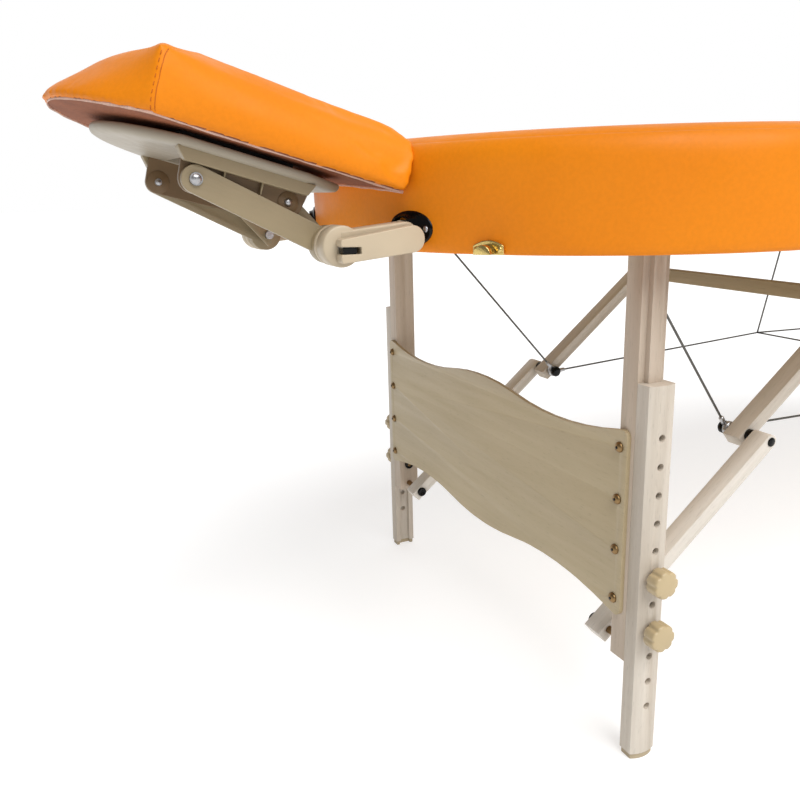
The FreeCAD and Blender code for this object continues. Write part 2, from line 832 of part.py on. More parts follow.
def make_platform():
    """Moulded carrier: a round-nosed plate with two side brackets under it."""
    half = "platform_half"
    rear = "-platform_rear"
    front = "-platform_front"
    nose = "(platform_half^2 + platform_nose^2) / (2 * platform_nose)"
    flank = "-(platform_rear + platform_flank)"
    inside = "(platform_half - platform_corner)"
    corners = [(rear, f"-{inside}"), (rear, inside), (flank, half), (front, half, nose, -1),
               (front, f"-{half}"), (flank, f"-{half}")]
    plate = extrude("platform_plate", "XY", corners, ("-(platform_top + platform_thick)", "-platform_top"))
    pieces = [tilt(plate)]
    under = "-(platform_top + platform_thick)"
    rivet = head_frame("rivet_reach", "rivet_height")
    screw = head_frame("rear_screw_reach", "rear_screw_height")
    bore = "rivet_radius + running_gap"
    for side in SIDES:
        first = f"{rivet[0]} - bracket_front"
        last = f"{screw[0]} + bracket_back"
        shape = [(first, under), (first, f"{rivet[1]} - bracket_drop"), (last, f"{screw[1]} - bracket_drop"),
                 (last, under)]
        holes = [rivet + (bore,), screw + (bore,)]
        y_span = across(side, "bracket_inner", "bracket_outer")
        bracket = extrude(f"bracket_{side}", "XZ", shape, y_span, holes)
        pieces.append(tilt(bracket))
    keep(fuse("headrest_platform", pieces))
    strips = []
    for side in SIDES:
        low, high = across(side, "strip_inner", "strip_outer")
        shape = [("-platform_front", low), ("-strip_start", low), ("-strip_start", high),
                 ("-platform_front", high)]
        strips.append(tilt(extrude(f"strip_{side}", "XY", shape, ("-platform_top", "-side_gap"))))
    keep(group("hook_strips", strips))


def head_frame(reach, height):
    """A point of the table seen in the headrest's tilted frame."""
    back = f"(head_rear - {reach})"
    up = f"({height} - head_height)"
    cosine = "cos(head_tilt * 1 deg)"
    sine = "sin(head_tilt * 1 deg)"
    return f"({back} * {cosine} - {up} * {sine})", f"({back} * {sine} + {up} * {cosine})"


def make_headrest_arms():
    """Flat arms from the hubs to the front rivets, the short rear links, and what pins them."""
    x = at_reach("head", "hub_reach")
    reach = "rivet_reach - hub_reach"
    rise = "rivet_height - hub_height"
    length = f"sqrt(({reach})^2 + ({rise})^2)"
    link_reach = "rear_screw_reach - hub_reach"
    link_rise = "rear_screw_height - hub_height"
    link_length = f"sqrt(({link_reach})^2 + ({link_rise})^2)"
    bolt_hole = "hub_bolt + running_gap"
    arms = []
    pins = []
    for side in SIDES:
        arm_holes = [(length, "0", "rivet_radius + running_gap")]
        beam = bar(f"beam_{side}", across(side, "arm_inner", "arm_outer"), length, "bar_half", "0",
                   arm_holes)
        swing(beam, x, "hub_height", f"180 deg + atan2({rise}; {reach})")
        ring = rod(f"ring_{side}", "y", "ring_radius", across(side, "arm_inner", "ring_outer"),
                   (x, "hub_height"))
        hole = rod(f"ring_hole_{side}", "y", bolt_hole,
                   across(side, "arm_inner - overshoot", "ring_outer + overshoot"), (x, "hub_height"))
        arms.append(cut(f"arm_{side}", fuse(f"arm_solid_{side}", [beam, ring]), [hole]))
        link_holes = [("0", "0", bolt_hole), (link_length, "0", "rivet_radius + running_gap")]
        link = bar(f"link_{side}", across(side, "link_inner", "bracket_inner - side_gap"), link_length,
                   "link_half", "link_half", link_holes)
        arms.append(swing(link, x, "hub_height", f"180 deg + atan2({link_rise}; {link_reach})"))
        front = (at_reach("head", "rivet_reach"), "rivet_height")
        shank = rod(f"rivet_{side}", "y", "rivet_radius",
                    across(side, "bracket_inner - rivet_lap", "arm_outer"), front)
        dome = rod(f"rivet_head_{side}", "y", "rivet_radius + rivet_lap",
                   across(side, "arm_outer", "arm_outer + rivet_dome"), front)
        pins.append(fuse(f"front_rivet_{side}", [shank, dome]))
        rear = (at_reach("head", "rear_screw_reach"), "rear_screw_height")
        pins.append(rod(f"rear_screw_{side}", "y", "rivet_radius",
                        across(side, "link_inner - overshoot", "bracket_outer + side_gap"), rear))
        pins.append(rod(f"hub_pin_{side}", "y", "hub_bolt", across(side, "link_inner - hub_nut", "hub_end"),
                        (x, "hub_height")))
    keep(group("headrest_arms", arms))
    keep(group("headrest_pins", pins))


def make_flange(side):
    """Ring that lies flat on the curved end wall round a headrest socket."""
    lean = number("asin(prong_side / end_radius)")
    turn = 180 - lean if side == "left" else 180 + lean
    flange = doc.addObject("Part::Cylinder", f"flange_{side}")
    flange.Placement = Placement(Vector(), Rotation(Vector(0, 0, 1), turn) * TURN["x"])
    bind(flange, "Radius", "flange_radius")
    bind(flange, "Height", "flange_thick")
    seat = "(end_radius + side_gap)"
    side_share = "(prong_side / end_radius)"
    bind(flange, "Placement.Base.x", at_reach("head", f"{END_CENTRE} + {seat} * sqrt(1 - {side_share}^2)"))
    bind(flange, "Placement.Base.y", at_side(side, f"{seat} * {side_share}"))
    bind(flange, "Placement.Base.z", "prong_height")
    return flange


def make_headrest_base():
    """Prongs that plug into the table, with the fixed halves of the hubs, and their sockets."""
    x = at_reach("head", "hub_reach")
    prongs = []
    sockets = []
    for side in SIDES:
        disc = rod(f"disc_{side}", "y", "knuckle_radius", across(side, "knuckle_inner", "knuckle_outer"),
                   (x, "hub_height"))
        place = (at_side(side, "prong_side"), "prong_height")
        prong = rod(f"prong_stick_{side}", "x", "prong_radius",
                    along("head", "prong_tip", "prong_root"), place)
        solid = fuse(f"prong_solid_{side}", [disc, prong])
        hole = rod(f"disc_hole_{side}", "y", "hub_bolt + running_gap",
                   across(side, "knuckle_inner - overshoot", "knuckle_outer + overshoot"), (x, "hub_height"))
        prongs.append(cut(f"prong_{side}", solid, [hole]))
        sleeve = rod(f"sleeve_{side}", "x", "socket_radius",
                     along("head", "socket_back", "socket_face"), place)
        bore = rod(f"sleeve_bore_{side}", "x", "prong_radius + running_gap",
                   along("head", "socket_back - overshoot", "socket_face + drill_past"), place)
        solid = fuse(f"socket_solid_{side}", [sleeve, make_flange(side)])
        sockets.append(cut(f"socket_{side}", solid, [bore]))
    keep(group("headrest_prongs", prongs))
    keep(group("headrest_sockets", sockets))


def make_cam_lever(side):
    """Cam lever lying along the prong, forked round the end of the hub bolt and drilled for its pin."""
    y_span = across(side, "lever_inner", "lever_outer")
    back = "-lever_back"
    shape = [(back, "-lever_half")] + round_end("lever_long - lever_half", "lever_half")
    shape += [(back, "lever_half"), (back, "fork_half"), ("fork_long", "fork_half"),
              ("fork_long", "-fork_half"), (back, "-fork_half")]
    lever = extrude(f"lever_{side}", "XZ", shape, y_span)
    x = at_reach("head", "hub_reach")
    bind(lever, "Placement.Base.x", x)
    bind(lever, "Placement.Base.z", "hub_height")
    reach = "lever_half + overshoot"
    hole = rod(f"lever_hole_{side}", "z", "fork_pin", (f"hub_height - ({reach})", f"hub_height + ({reach})"),
               (x, at_side(side, "(lever_inner + lever_outer) / 2")))
    keep(cut(f"cam_lever_{side}", lever, [hole]))


# Case latches

def latch_place(item, end, side):
    """Sets a piece on the curved wall, facing out along the wall's normal."""
    item.Placement = Placement(Vector(), Rotation(Vector(0, 0, 1), 1))
    turn = {"head": {"left": "180 deg -", "right": "180 deg +"},
            "foot": {"left": "0 deg +", "right": "0 deg -"}}
    angle = "latch_angle * 1 deg"
    bind(item, "Placement.Rotation.Angle", f"{turn[end][side]} {angle}")
    bind(item, "Placement.Base.x", at_reach(end, f"side_length + corner_radius * cos({angle})"))
    out = f"half_width - corner_radius + corner_radius * sin({angle})"
    bind(item, "Placement.Base.y", at_side(side, out))
    bind(item, "Placement.Base.z", "latch_base")
    return item


def make_latches():
    """Turn latches on the head half and the plates they catch on the foot half."""
    rise = "(latch_tall - latch_ear)"
    crown = f"((latch_wide^2 + {rise}^2) / (2 * {rise}))"
    shape = [("-latch_wide", "0"), ("latch_wide", "0"), ("latch_wide", "latch_ear", crown, -1),
             ("-latch_wide", "latch_ear")]
    front = "(side_gap + latch_plate)"
    for end, label in (("head", "latch_plates"), ("foot", "latch_keepers")):
        plates = [latch_place(extrude(f"{label}_{side}", "YZ", shape, ("side_gap", front)), end, side)
                  for side in SIDES]
        keep(group(label, plates))
    turn = [("-latch_round", "0"), ("latch_round", "0", "latch_round", -1),
            ("0", "latch_round", "latch_round", -1)]
    for side in SIDES:
        span = (f"{front} + side_gap", f"{front} + side_gap + latch_long")
        keep(latch_place(extrude(f"latch_turn_{side}", "YZ", turn, span), "head", side))


# Assembly

for end in ENDS:
    make_half(end)
    make_panel(end)
    make_leg_fasteners(end)
    keep(group(f"{end}_upper_legs", [make_upper_leg(end, side) for side in SIDES]))
    make_upper_braces(end)
    for side in SIDES:
        make_lower_leg(end, side)
        make_lower_brace(end, side)
        for level in ("knob_high", "knob_low"):
            make_knob(end, side, level)
make_hinge()
make_cables()
make_cushion()
make_platform()
make_headrest_arms()
make_headrest_base()
for side in SIDES:
    make_cam_lever(side)
make_latches()
doc.recompute()

failed = [item.Label for item in doc.Objects if "Invalid" in item.State or "Error" in item.State]
for node in nodes:
    if node.Shape.isNull() or not node.Shape.isValid():
        failed.append(node.Label)
if failed:
    raise RuntimeError(f"pieces that did not build: {sorted(set(failed))}")

os.makedirs("parts", exist_ok=True)
for node in nodes:
    node.Shape.exportStep(f"parts/{node.Label}.step")
print(len(nodes), "pieces written")
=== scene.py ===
import json
import math

import bmesh
import bpy
from mathutils import Matrix, Vector, noise
from mathutils.bvhtree import BVHTree


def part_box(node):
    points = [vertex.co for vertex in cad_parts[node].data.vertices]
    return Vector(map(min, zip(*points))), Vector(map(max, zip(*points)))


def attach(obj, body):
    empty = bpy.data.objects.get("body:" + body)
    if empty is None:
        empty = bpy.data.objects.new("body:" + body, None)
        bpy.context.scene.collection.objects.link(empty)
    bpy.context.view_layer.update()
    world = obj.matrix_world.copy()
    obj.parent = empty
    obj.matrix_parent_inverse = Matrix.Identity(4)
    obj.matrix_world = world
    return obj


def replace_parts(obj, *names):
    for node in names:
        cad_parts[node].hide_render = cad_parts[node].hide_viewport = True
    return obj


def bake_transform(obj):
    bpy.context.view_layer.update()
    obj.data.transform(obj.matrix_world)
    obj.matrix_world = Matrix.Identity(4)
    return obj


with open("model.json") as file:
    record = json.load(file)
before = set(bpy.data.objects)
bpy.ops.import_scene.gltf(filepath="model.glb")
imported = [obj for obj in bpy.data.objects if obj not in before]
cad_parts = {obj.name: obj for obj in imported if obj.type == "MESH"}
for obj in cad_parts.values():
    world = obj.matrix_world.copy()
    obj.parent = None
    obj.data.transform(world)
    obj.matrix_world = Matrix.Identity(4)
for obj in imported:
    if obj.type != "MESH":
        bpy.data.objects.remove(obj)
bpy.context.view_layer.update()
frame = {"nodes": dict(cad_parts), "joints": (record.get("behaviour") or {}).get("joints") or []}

# Named sizes are in millimetres where no comment says otherwise. A reach is a distance from the fold.

JOINTS = {joint["name"]: joint for joint in frame["joints"]}
FOLD = Vector(JOINTS["table_fold"]["pos_m"])
SIDES = {"left": 1, "right": -1}
ENDS = {"head": -1, "foot": 1}
MM = 0.001
UP = Vector((0, 0, 1))


# Camera at the photograph's viewpoint

def make_camera():
    # Degrees to the right of +Y, downwards and round the line of sight
    yaw, pitch, roll = (math.radians(angle) for angle in (24.1995, 14.8992, 1.5636))
    place = Vector((-1.1277, -0.8996, 0.6113))
    forward = Vector((math.sin(yaw) * math.cos(pitch), math.cos(yaw) * math.cos(pitch), -math.sin(pitch)))
    right = Vector((math.cos(yaw), -math.sin(yaw), 0))
    down = forward.cross(right)
    turned_right = math.cos(roll) * right + math.sin(roll) * down
    turned_down = math.cos(roll) * down - math.sin(roll) * right
    data = bpy.data.cameras.new("camera")
    data.sensor_width = 36
    data.lens = 36.46
    data.clip_start = 0.01
    camera = bpy.data.objects.new("camera", data)
    axes = Matrix((turned_right, -turned_down, -forward)).transposed()
    camera.matrix_world = Matrix.Translation(place) @ axes.to_4x4()
    bpy.context.scene.collection.objects.link(camera)
    bpy.context.scene.camera = camera


make_camera()


# Materials

ALONG_X, ALONG_Y, ALONG_Z = (1, 0, 0), (0, 1, 0), (0, 0, 1)
# Where the stops of a patchy tone lie on its noise
PATCH_LOW, PATCH_HIGH = 0.3, 0.7


def srgb(red, green, blue):
    """A colour given in screen values from 0 to 255, as linear values by the sRGB curve."""
    return tuple(((value / 255 + 0.055) / 1.055) ** 2.4 if value > 10 else value / 255 / 12.92
                 for value in (red, green, blue)) + (1.0,)


def darker(colour, share):
    """A share of a colour given in screen values."""
    return srgb(*(value * share for value in colour))


def turn_to(along):
    """The rotation that brings z to another direction."""
    return UP.rotation_difference(Vector(along)).to_euler()


def set_stops(node, *stops):
    """Sets the two stops of a colour ramp, each a position and a colour or grey."""
    for element, (position, colour) in zip(node.color_ramp.elements, stops):
        element.position = position
        element.color = colour if isinstance(colour, tuple) else (colour, colour, colour, 1)


class Shader:
    """A material and the nodes that make it."""

    def __init__(self, name, roughness, metallic=0.0):
        self.material = bpy.data.materials.new(name)
        self.material.use_nodes = True
        self.tree = self.material.node_tree
        self.surface = self.tree.nodes["Principled BSDF"]
        self.surface.inputs["Roughness"].default_value = roughness
        self.surface.inputs["Metallic"].default_value = metallic
        self.place = self.tree.nodes.new("ShaderNodeTexCoord").outputs["Object"]

    def set(self, **values):
        for name, value in values.items():
            self.surface.inputs[name.replace("_", " ")].default_value = value
        return self

    def link(self, source, target):
        self.tree.links.new(source, target)

    def mapped(self, scale=(1, 1, 1), turn=(0, 0, 0)):
        node = self.tree.nodes.new("ShaderNodeMapping")
        node.vector_type = "TEXTURE"
        node.inputs["Scale"].default_value = scale
        node.inputs["Rotation"].default_value = turn
        self.link(self.place, node.inputs["Vector"])
        return node.outputs["Vector"]

    def noise(self, size, detail, rough=0.5, scale=(1, 1, 1), turn=(0, 0, 0)):
        """Smooth noise whose patches are about size metres across."""
        node = self.tree.nodes.new("ShaderNodeTexNoise")
        node.inputs["Scale"].default_value = 1 / size
        node.inputs["Detail"].default_value = detail
        node.inputs["Roughness"].default_value = rough
        self.link(self.mapped(scale, turn), node.inputs["Vector"])
        return node.outputs["Fac"]

    def cells(self, size):
        """Cells about size metres across."""
        node = self.tree.nodes.new("ShaderNodeTexVoronoi")
        node.inputs["Scale"].default_value = 1 / size
        self.link(self.mapped(), node.inputs["Vector"])
        return node.outputs["Distance"]

    def ramp(self, factor, *stops):
        """Maps a factor through two stops."""
        node = self.tree.nodes.new("ShaderNodeValToRGB")
        set_stops(node, *stops)
        self.link(factor, node.inputs["Fac"])
        return node.outputs["Color"]

    def patches(self, low, high, size, detail=3.0):
        """Patches about size metres across that run from one colour or grey to another."""
        return self.ramp(self.noise(size, detail), (PATCH_LOW, low), (PATCH_HIGH, high))

    def multiply(self, first, second):
        node = self.tree.nodes.new("ShaderNodeMix")
        node.data_type = "RGBA"
        node.blend_type = "MULTIPLY"
        # Sockets of a mix node for colours
        factor, below, above = (node.inputs[index] for index in (0, 6, 7))
        factor.default_value = 1.0
        self.link(first, below)
        self.link(second, above)
        return node.outputs[2]

    def colour(self, source):
        self.link(source, self.surface.inputs["Base Color"])

    def roughness(self, source):
        self.link(source, self.surface.inputs["Roughness"])

    def bump(self, height, depth):
        """Relief of about depth metres, over any relief already there."""
        node = self.tree.nodes.new("ShaderNodeBump")
        node.inputs["Strength"].default_value = 1.0
        node.inputs["Distance"].default_value = depth
        last = self.surface.inputs["Normal"]
        if last.is_linked:
            self.link(last.links[0].from_socket, node.inputs["Normal"])
        self.link(height, node.inputs["Height"])
        self.link(node.outputs["Normal"], last)


def vinyl(name, dark, light):
    """Coated cloth with fine pores and slow ripples."""
    shader = Shader(name, roughness=0.46).set(Specular_IOR_Level=0.2)
    tone = shader.patches(srgb(*dark), srgb(*light), size=0.24, detail=2.0)
    fleck = shader.ramp(shader.noise(size=0.004, detail=3.0), (0.35, 0.95), (0.65, 1.0))
    shader.colour(shader.multiply(tone, fleck))
    shader.roughness(shader.patches(0.42, 0.55, size=0.03, detail=4.0))
    shader.bump(shader.cells(size=0.0011), depth=0.00005)
    shader.bump(shader.noise(size=0.05, detail=2.0), depth=0.0004)
    return shader.material


def woven(name, dark, light, thread, depth):
    """Plain cloth: two crossed sets of threads over a patchy tone."""
    shader = Shader(name, roughness=0.85)
    tone = shader.patches(srgb(*dark), srgb(*light), size=0.05)
    weft = shader.noise(thread, detail=1.0, scale=(1, 7, 1))
    warp = shader.noise(thread, detail=1.0, scale=(7, 1, 1))
    shader.colour(shader.multiply(tone, shader.ramp(weft, (0.35, 0.8), (0.6, 1.0))))
    shader.bump(weft, depth)
    shader.bump(warp, depth)
    return shader.material


def wood(name, dark, light, along, size=0.018, gloss=0.5):
    """Fine-grained wood whose grain runs along a direction."""
    turn = turn_to(along)
    shader = Shader(name, roughness=gloss)
    grain = shader.noise(size, detail=5.0, rough=0.6, scale=(1, 1, 16), turn=turn)
    pores = shader.noise(size=0.0016, detail=2.0, scale=(1, 1, 8), turn=turn)
    tone = shader.ramp(grain, (0.32, srgb(*dark)), (0.68, srgb(*light)))
    tone = shader.multiply(tone, shader.ramp(pores, (0.28, 0.86), (0.4, 1.0)))
    shader.colour(shader.multiply(tone, shader.patches(0.94, 1.0, size=0.16, detail=2.0)))
    shader.roughness(shader.ramp(grain, (PATCH_LOW, gloss + 0.1), (PATCH_HIGH, gloss - 0.06)))
    shader.bump(pores, depth=0.00008)
    return shader.material


def plastic(name, colour, gloss, grain=0.0009, shine=0.5):
    """Moulded plastic with a fine grain."""
    shader = Shader(name, roughness=gloss).set(Specular_IOR_Level=shine)
    shader.colour(shader.patches(darker(colour, 0.95), srgb(*colour), size=0.06))
    shader.roughness(shader.patches(gloss - 0.06, gloss + 0.08, size=0.012))
    shader.bump(shader.noise(grain, detail=2.0), depth=0.00005)
    return shader.material


def metal(name, colour, gloss):
    """Metal with faint brush marks."""
    shader = Shader(name, roughness=gloss, metallic=1.0)
    shader.colour(shader.patches(darker(colour, 0.9), srgb(*colour), size=0.01))
    shader.roughness(shader.patches(gloss - 0.06, gloss + 0.1, size=0.004))
    brush = shader.noise(size=0.0006, detail=2.0, scale=(1, 1, 10), turn=turn_to(ALONG_X))
    shader.bump(brush, depth=0.00003)
    return shader.material


BEECH = ((188, 176, 160), (208, 199, 186))
# A lighter copy of the beech, painted light on the lower braces whose tops catch the light
LIT_BEECH = ((208, 200, 188), (226, 219, 209))
# A darker copy of the beech, painted shade on the upper legs
SHADED_BEECH = ((178, 161, 142), (194, 178, 160))
VINYL = vinyl("orange_vinyl", (222, 125, 8), (233, 137, 14))
# The lining is darker than its own tone: painted shade on the cushion's underside
LINING = woven("shaded_brown_lining", (120, 64, 34), (146, 82, 46), thread=0.0012, depth=0.00012)
RAW_EDGE = woven("raw_edge", (206, 166, 148), (228, 194, 178), thread=0.0008, depth=0.0001)
THREAD = woven("orange_thread", (186, 92, 6), (200, 104, 10), thread=0.0006, depth=0.00008)
TAPE = woven("hook_tape", (8, 8, 8), (20, 19, 18), thread=0.0009, depth=0.0004)
LOWER_WOOD = wood("lower_leg_beech", *BEECH, ALONG_Z)
UPPER_WOOD = wood("upper_leg_shaded_beech", *SHADED_BEECH, ALONG_Z)
PANEL_WOOD = wood("panel_ply", (178, 161, 127), (185, 168, 134), ALONG_Y, size=0.012, gloss=0.42)
FRAME_WOOD = wood("frame_wood", (170, 146, 112), (196, 174, 142), ALONG_Y, size=0.02, gloss=0.6)
# The stretcher's beech is darker than the rest: painted shade under the deck
STRETCHER_WOOD = wood("stretcher_shaded_beech", (150, 130, 96), (164, 144, 110), ALONG_Y)
KNOB = plastic("cream_plastic", (188, 168, 130), gloss=0.34)
BEIGE = plastic("beige_plastic", (150, 134, 104), gloss=0.46)
# A darker brown for the beige plastic under the cushion: partly the brackets' own tone, partly painted shade
SHADED_BROWN = plastic("shaded_brown_plastic", (116, 92, 62), gloss=0.5)
PLATFORM = plastic("platform_plastic", (163, 153, 135), gloss=0.44)
PALE = plastic("pale_plastic", (190, 174, 148), gloss=0.42)
BLACK = plastic("black_plastic", (6, 6, 6), gloss=0.14, grain=0.02, shine=0.2)
FOOT = plastic("foot_rubber", (172, 156, 128), gloss=0.6)
STEEL = metal("zinc_steel", (188, 188, 190), gloss=0.3)
DARK_STEEL = metal("cable_steel", (104, 102, 98), gloss=0.36)
BRONZE = metal("bronze", (150, 122, 84), gloss=0.36)
BRASS = metal("polished_brass", (222, 196, 124), gloss=0.22)


# Mesh building

# Radius at which the outline of a turned piece ends on its axis
TIP = 0.02
# Outline of a low round head, for a radius of 1
DOME = ((0, 1.0), (0.2, 1.0), (0.44, 0.84), (0.62, 0.56), (0.7, 0.2), (0.71, 0.01))
CLOTH_PRESSURE, CLOTH_FRAMES = 4.0, 20


def add_mesh(name, points, faces, material, body, slot):
    """A smooth piece from points in the CAD's frame, which rides on a body if one is named."""
    mesh = bpy.data.meshes.new(name)
    mesh.from_pydata([tuple(point) for point in points], [], faces)
    mesh.update()
    work = bmesh.new()
    work.from_mesh(mesh)
    bmesh.ops.recalc_face_normals(work, faces=work.faces)
    work.to_mesh(mesh)
    work.free()
    mesh.materials.append(material)
    mesh.polygons.foreach_set("use_smooth", [True] * len(mesh.polygons))
    item = bpy.data.objects.new(name, mesh)
    bpy.context.scene.collection.objects.link(item)
    if body:
        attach(item, body)
    return item


def loop_faces(rings, count, gap=0):
    """Quads between closed rings of count points, and from the last ring to the first if there is no gap."""
    faces = []
    for ring in range(rings - gap):
        low = ring * count
        high = (ring + 1) % rings * count
        for index in range(count):
            following = (index + 1) % count
            faces.append((low + index, low + following, high + following, high + index))
    return faces


def ring_faces(rings, count, closed_start=True):
    """Quads between closed rings of points, with a cap at the end and, if asked, at the start."""
    faces = loop_faces(rings, count, gap=1)
    if closed_start:
        faces.append(tuple(range(count)))
    faces.append(tuple(range((rings - 1) * count, rings * count)))
    return faces


def frame_of(axis):
    """An axis of length 1 and two directions square to it."""
    axis = Vector(axis).normalized()
    helper = UP if abs(axis.z) < 0.9 else Vector(ALONG_X)
    first = axis.cross(helper).normalized()
    return axis, first, axis.cross(first)


def turned(name, centre, axis, outline, material, body, slot, count, lobes=None):
    """A turned piece: outline lists (distance along the axis, radius)."""
    axis, first, second = frame_of(axis)
    points = []
    for along, radius in outline:
        for index in range(count):
            angle = 2 * math.pi * index / count
            size = radius * (lobes(angle, radius) if lobes else 1)
            offset = first * math.cos(angle) + second * math.sin(angle)
            points.append(Vector(centre) + (axis * along + offset * size) * MM)
    return add_mesh(name, points, ring_faces(len(outline), count), material, body, slot)


def dome(radius):
    """Outline of a low round head of one radius."""
    return [(along * radius, wide * radius) for along, wide in DOME]


def tubes(name, paths, radius, material, body, slot, sides):
    """One or more tubes in one piece, each round a path."""
    points = []
    faces = []
    for path in paths:
        first = len(points)
        faces += [tuple(first + index for index in face) for face in ring_faces(len(path), sides)]
        normal = frame_of(path[1] - path[0])[1]
        for index, place in enumerate(path):
            way = (path[min(index + 1, len(path) - 1)] - path[max(index - 1, 0)]).normalized()
            normal = (normal - way * normal.dot(way)).normalized()
            across = way.cross(normal)
            for side in range(sides):
                angle = 2 * math.pi * side / sides
                points.append(place + (normal * math.cos(angle) + across * math.sin(angle)) * radius * MM)
    return add_mesh(name, points, faces, material, body, slot)


def rounded(*corners, steps=6):
    """An outline whose corners (x, y, radius) are rounded."""
    outline = []
    for index, (x, y, radius) in enumerate(corners):
        corner = Vector((x, y))
        before = (Vector(corners[index - 1][:2]) - corner).normalized()
        after = (Vector(corners[(index + 1) % len(corners)][:2]) - corner).normalized()
        half = before.angle(after) / 2
        centre = corner + (before + after).normalized() * radius / math.sin(half)
        first = corner + before * radius / math.tan(half) - centre
        last = corner + after * radius / math.tan(half) - centre
        start = math.atan2(first.y, first.x)
        turn = (math.atan2(last.y, last.x) - start + math.pi) % (2 * math.pi) - math.pi
        for step in range(steps + 1):
            angle = start + turn * step / steps
            outline.append(centre + Vector((math.cos(angle), math.sin(angle))) * radius)
    return outline


def prism(name, outline, span, place, edge, material, body, slot):
    """An outline (x, z) drawn out across span along y, with its edges broken by edge."""
    points = [place @ (Vector((x, side, z)) * MM) for side in span for x, z in outline]
    item = add_mesh(name, points, ring_faces(2, len(outline)), material, body, slot)
    for face in item.data.polygons:
        face.use_smooth = len(face.vertices) == 4
    bevel = item.modifiers.new("bevel", "BEVEL")
    bevel.width = edge * MM
    bevel.segments = 3
    bevel.limit_method = "ANGLE"
    bevel.angle_limit = math.radians(50)
    return item


def spot(end, reach, side, height):
    """A point from its reach, side and height."""
    return Vector((FOLD.x + ENDS[end] * reach * MM, side * MM, height * MM))


def add_round(name, row, end, sign, body):
    """A turned piece that points along y, from a row of a table."""
    material, slot, count, outline, (reach, side, height), way = row
    place = spot(end, reach, sign * side, height)
    turned(name, place, (0, sign * way, 0), outline, material, body, slot, count)


def on_side(sign, *edges):
    """A span given for the left side, set on the side of a sign."""
    return [sign * edge for edge in edges]


def held(share):
    """A share held between 0 and 1."""
    return max(0.0, min(1.0, share))


def bake(item):
    """Turns a piece and its modifiers into a plain mesh."""
    solid = item.evaluated_get(bpy.context.evaluated_depsgraph_get())
    item.data = bpy.data.meshes.new_from_object(solid)
    item.modifiers.clear()
    item.data.polygons.foreach_set("use_smooth", [True] * len(item.data.polygons))


def inflate(item, voxel, cap, is_held):
    """Swells a cover by cloth pressure; is_held tells the points that stay, cap is the longest move."""
    remesh = item.modifiers.new("remesh", "REMESH")
    remesh.mode = "VOXEL"
    remesh.voxel_size = voxel * MM
    bake(item)
    rest = [vertex.co.copy() for vertex in item.data.vertices]
    pins = item.vertex_groups.new(name="rim")
    pins.add([index for index, place in enumerate(rest) if is_held(place)], 1.0, "REPLACE")
    cloth = item.modifiers.new("cloth", "CLOTH")
    cloth.settings.use_pressure = True
    cloth.settings.uniform_pressure_force = CLOTH_PRESSURE
    cloth.settings.effector_weights.gravity = 0
    cloth.settings.vertex_group_mass = "rim"
    for number in range(1, CLOTH_FRAMES + 1):
        bpy.context.scene.frame_set(number)
    bake(item)
    bpy.context.scene.frame_set(1)
    for vertex, start in zip(item.data.vertices, rest):
        move = vertex.co - start
        if move.length > cap * MM:
            vertex.co = start + move.normalized() * cap * MM


# Upholstery of the two halves

SIDE_LENGTH, HALF_WIDTH, CORNER_RADIUS, END_RADIUS = 604, 382, 326, 437
CORNER_SIDE = HALF_WIDTH - CORNER_RADIUS
BLEND_ANGLE = math.asin(CORNER_SIDE / (END_RADIUS - CORNER_RADIUS))
END_CENTRE = SIDE_LENGTH - (END_RADIUS - CORNER_RADIUS) * math.cos(BLEND_ANGLE)
FOLD_ROUND = 5
# Points along the stretches of the outline
FOLD_STEPS, SIDE_STEPS, CORNER_STEPS, END_STEPS, FACE_STEPS = 6, 48, 40, 48, 40
# Outward directions below this x lie on the face at the fold
FOLD_FACING = -0.9
# Unevenness of the wall and of its lower rim: depth, and a scale of the noise in 1/m
WALL_WAVES = ((0.9, 7.0), (0.35, 21.0))
RIM_DEPTH, RIM_SCALE = 0.7, 38.0
WALL_FOOT, WALL_FOOT_FADE, WALL_TOP, WALL_TOP_FADE = 545, 6, 645, 12
RIM_HEIGHT, RIM_FADE = 547, 9
LATCH_ANGLE = math.radians(32.4)
DENT_DEPTH, DENT_SPREAD, DENT_HEIGHT = 2.2, 26, 554

# Height, how far the outline draws in, how far the face at the fold draws back
COVER_LEVELS = (
    (549, 24, 14), (545.4, 20, 10), (544.4, 8, 4), (544.6, 3, 1.6), (546, 0.7, 0.8), (549, -0.2, 0.5),
    (555, -0.6, 0.5), (566, -1.0, 0.5), (580, -1.2, 0.5), (595, -1.4, 0.5), (610, -1.5, 0.5),
    (622, -1.5, 0.5), (631, -1.2, 0.5), (638, 0, 0.6), (643, 2.2, 1.2), (647, 5.2, 2.6), (649, 7.6, 4),
    (649.6, 9, 5), (649.4, 9.8, 5.6), (650.4, 10.8, 6.4), (652.6, 14, 8.6), (655, 20, 13), (657, 32, 22),
    (658.4, 56, 44), (659.3, 96, 82), (659.8, 150, 140), (660, 220, 220), (660, 290, 300))


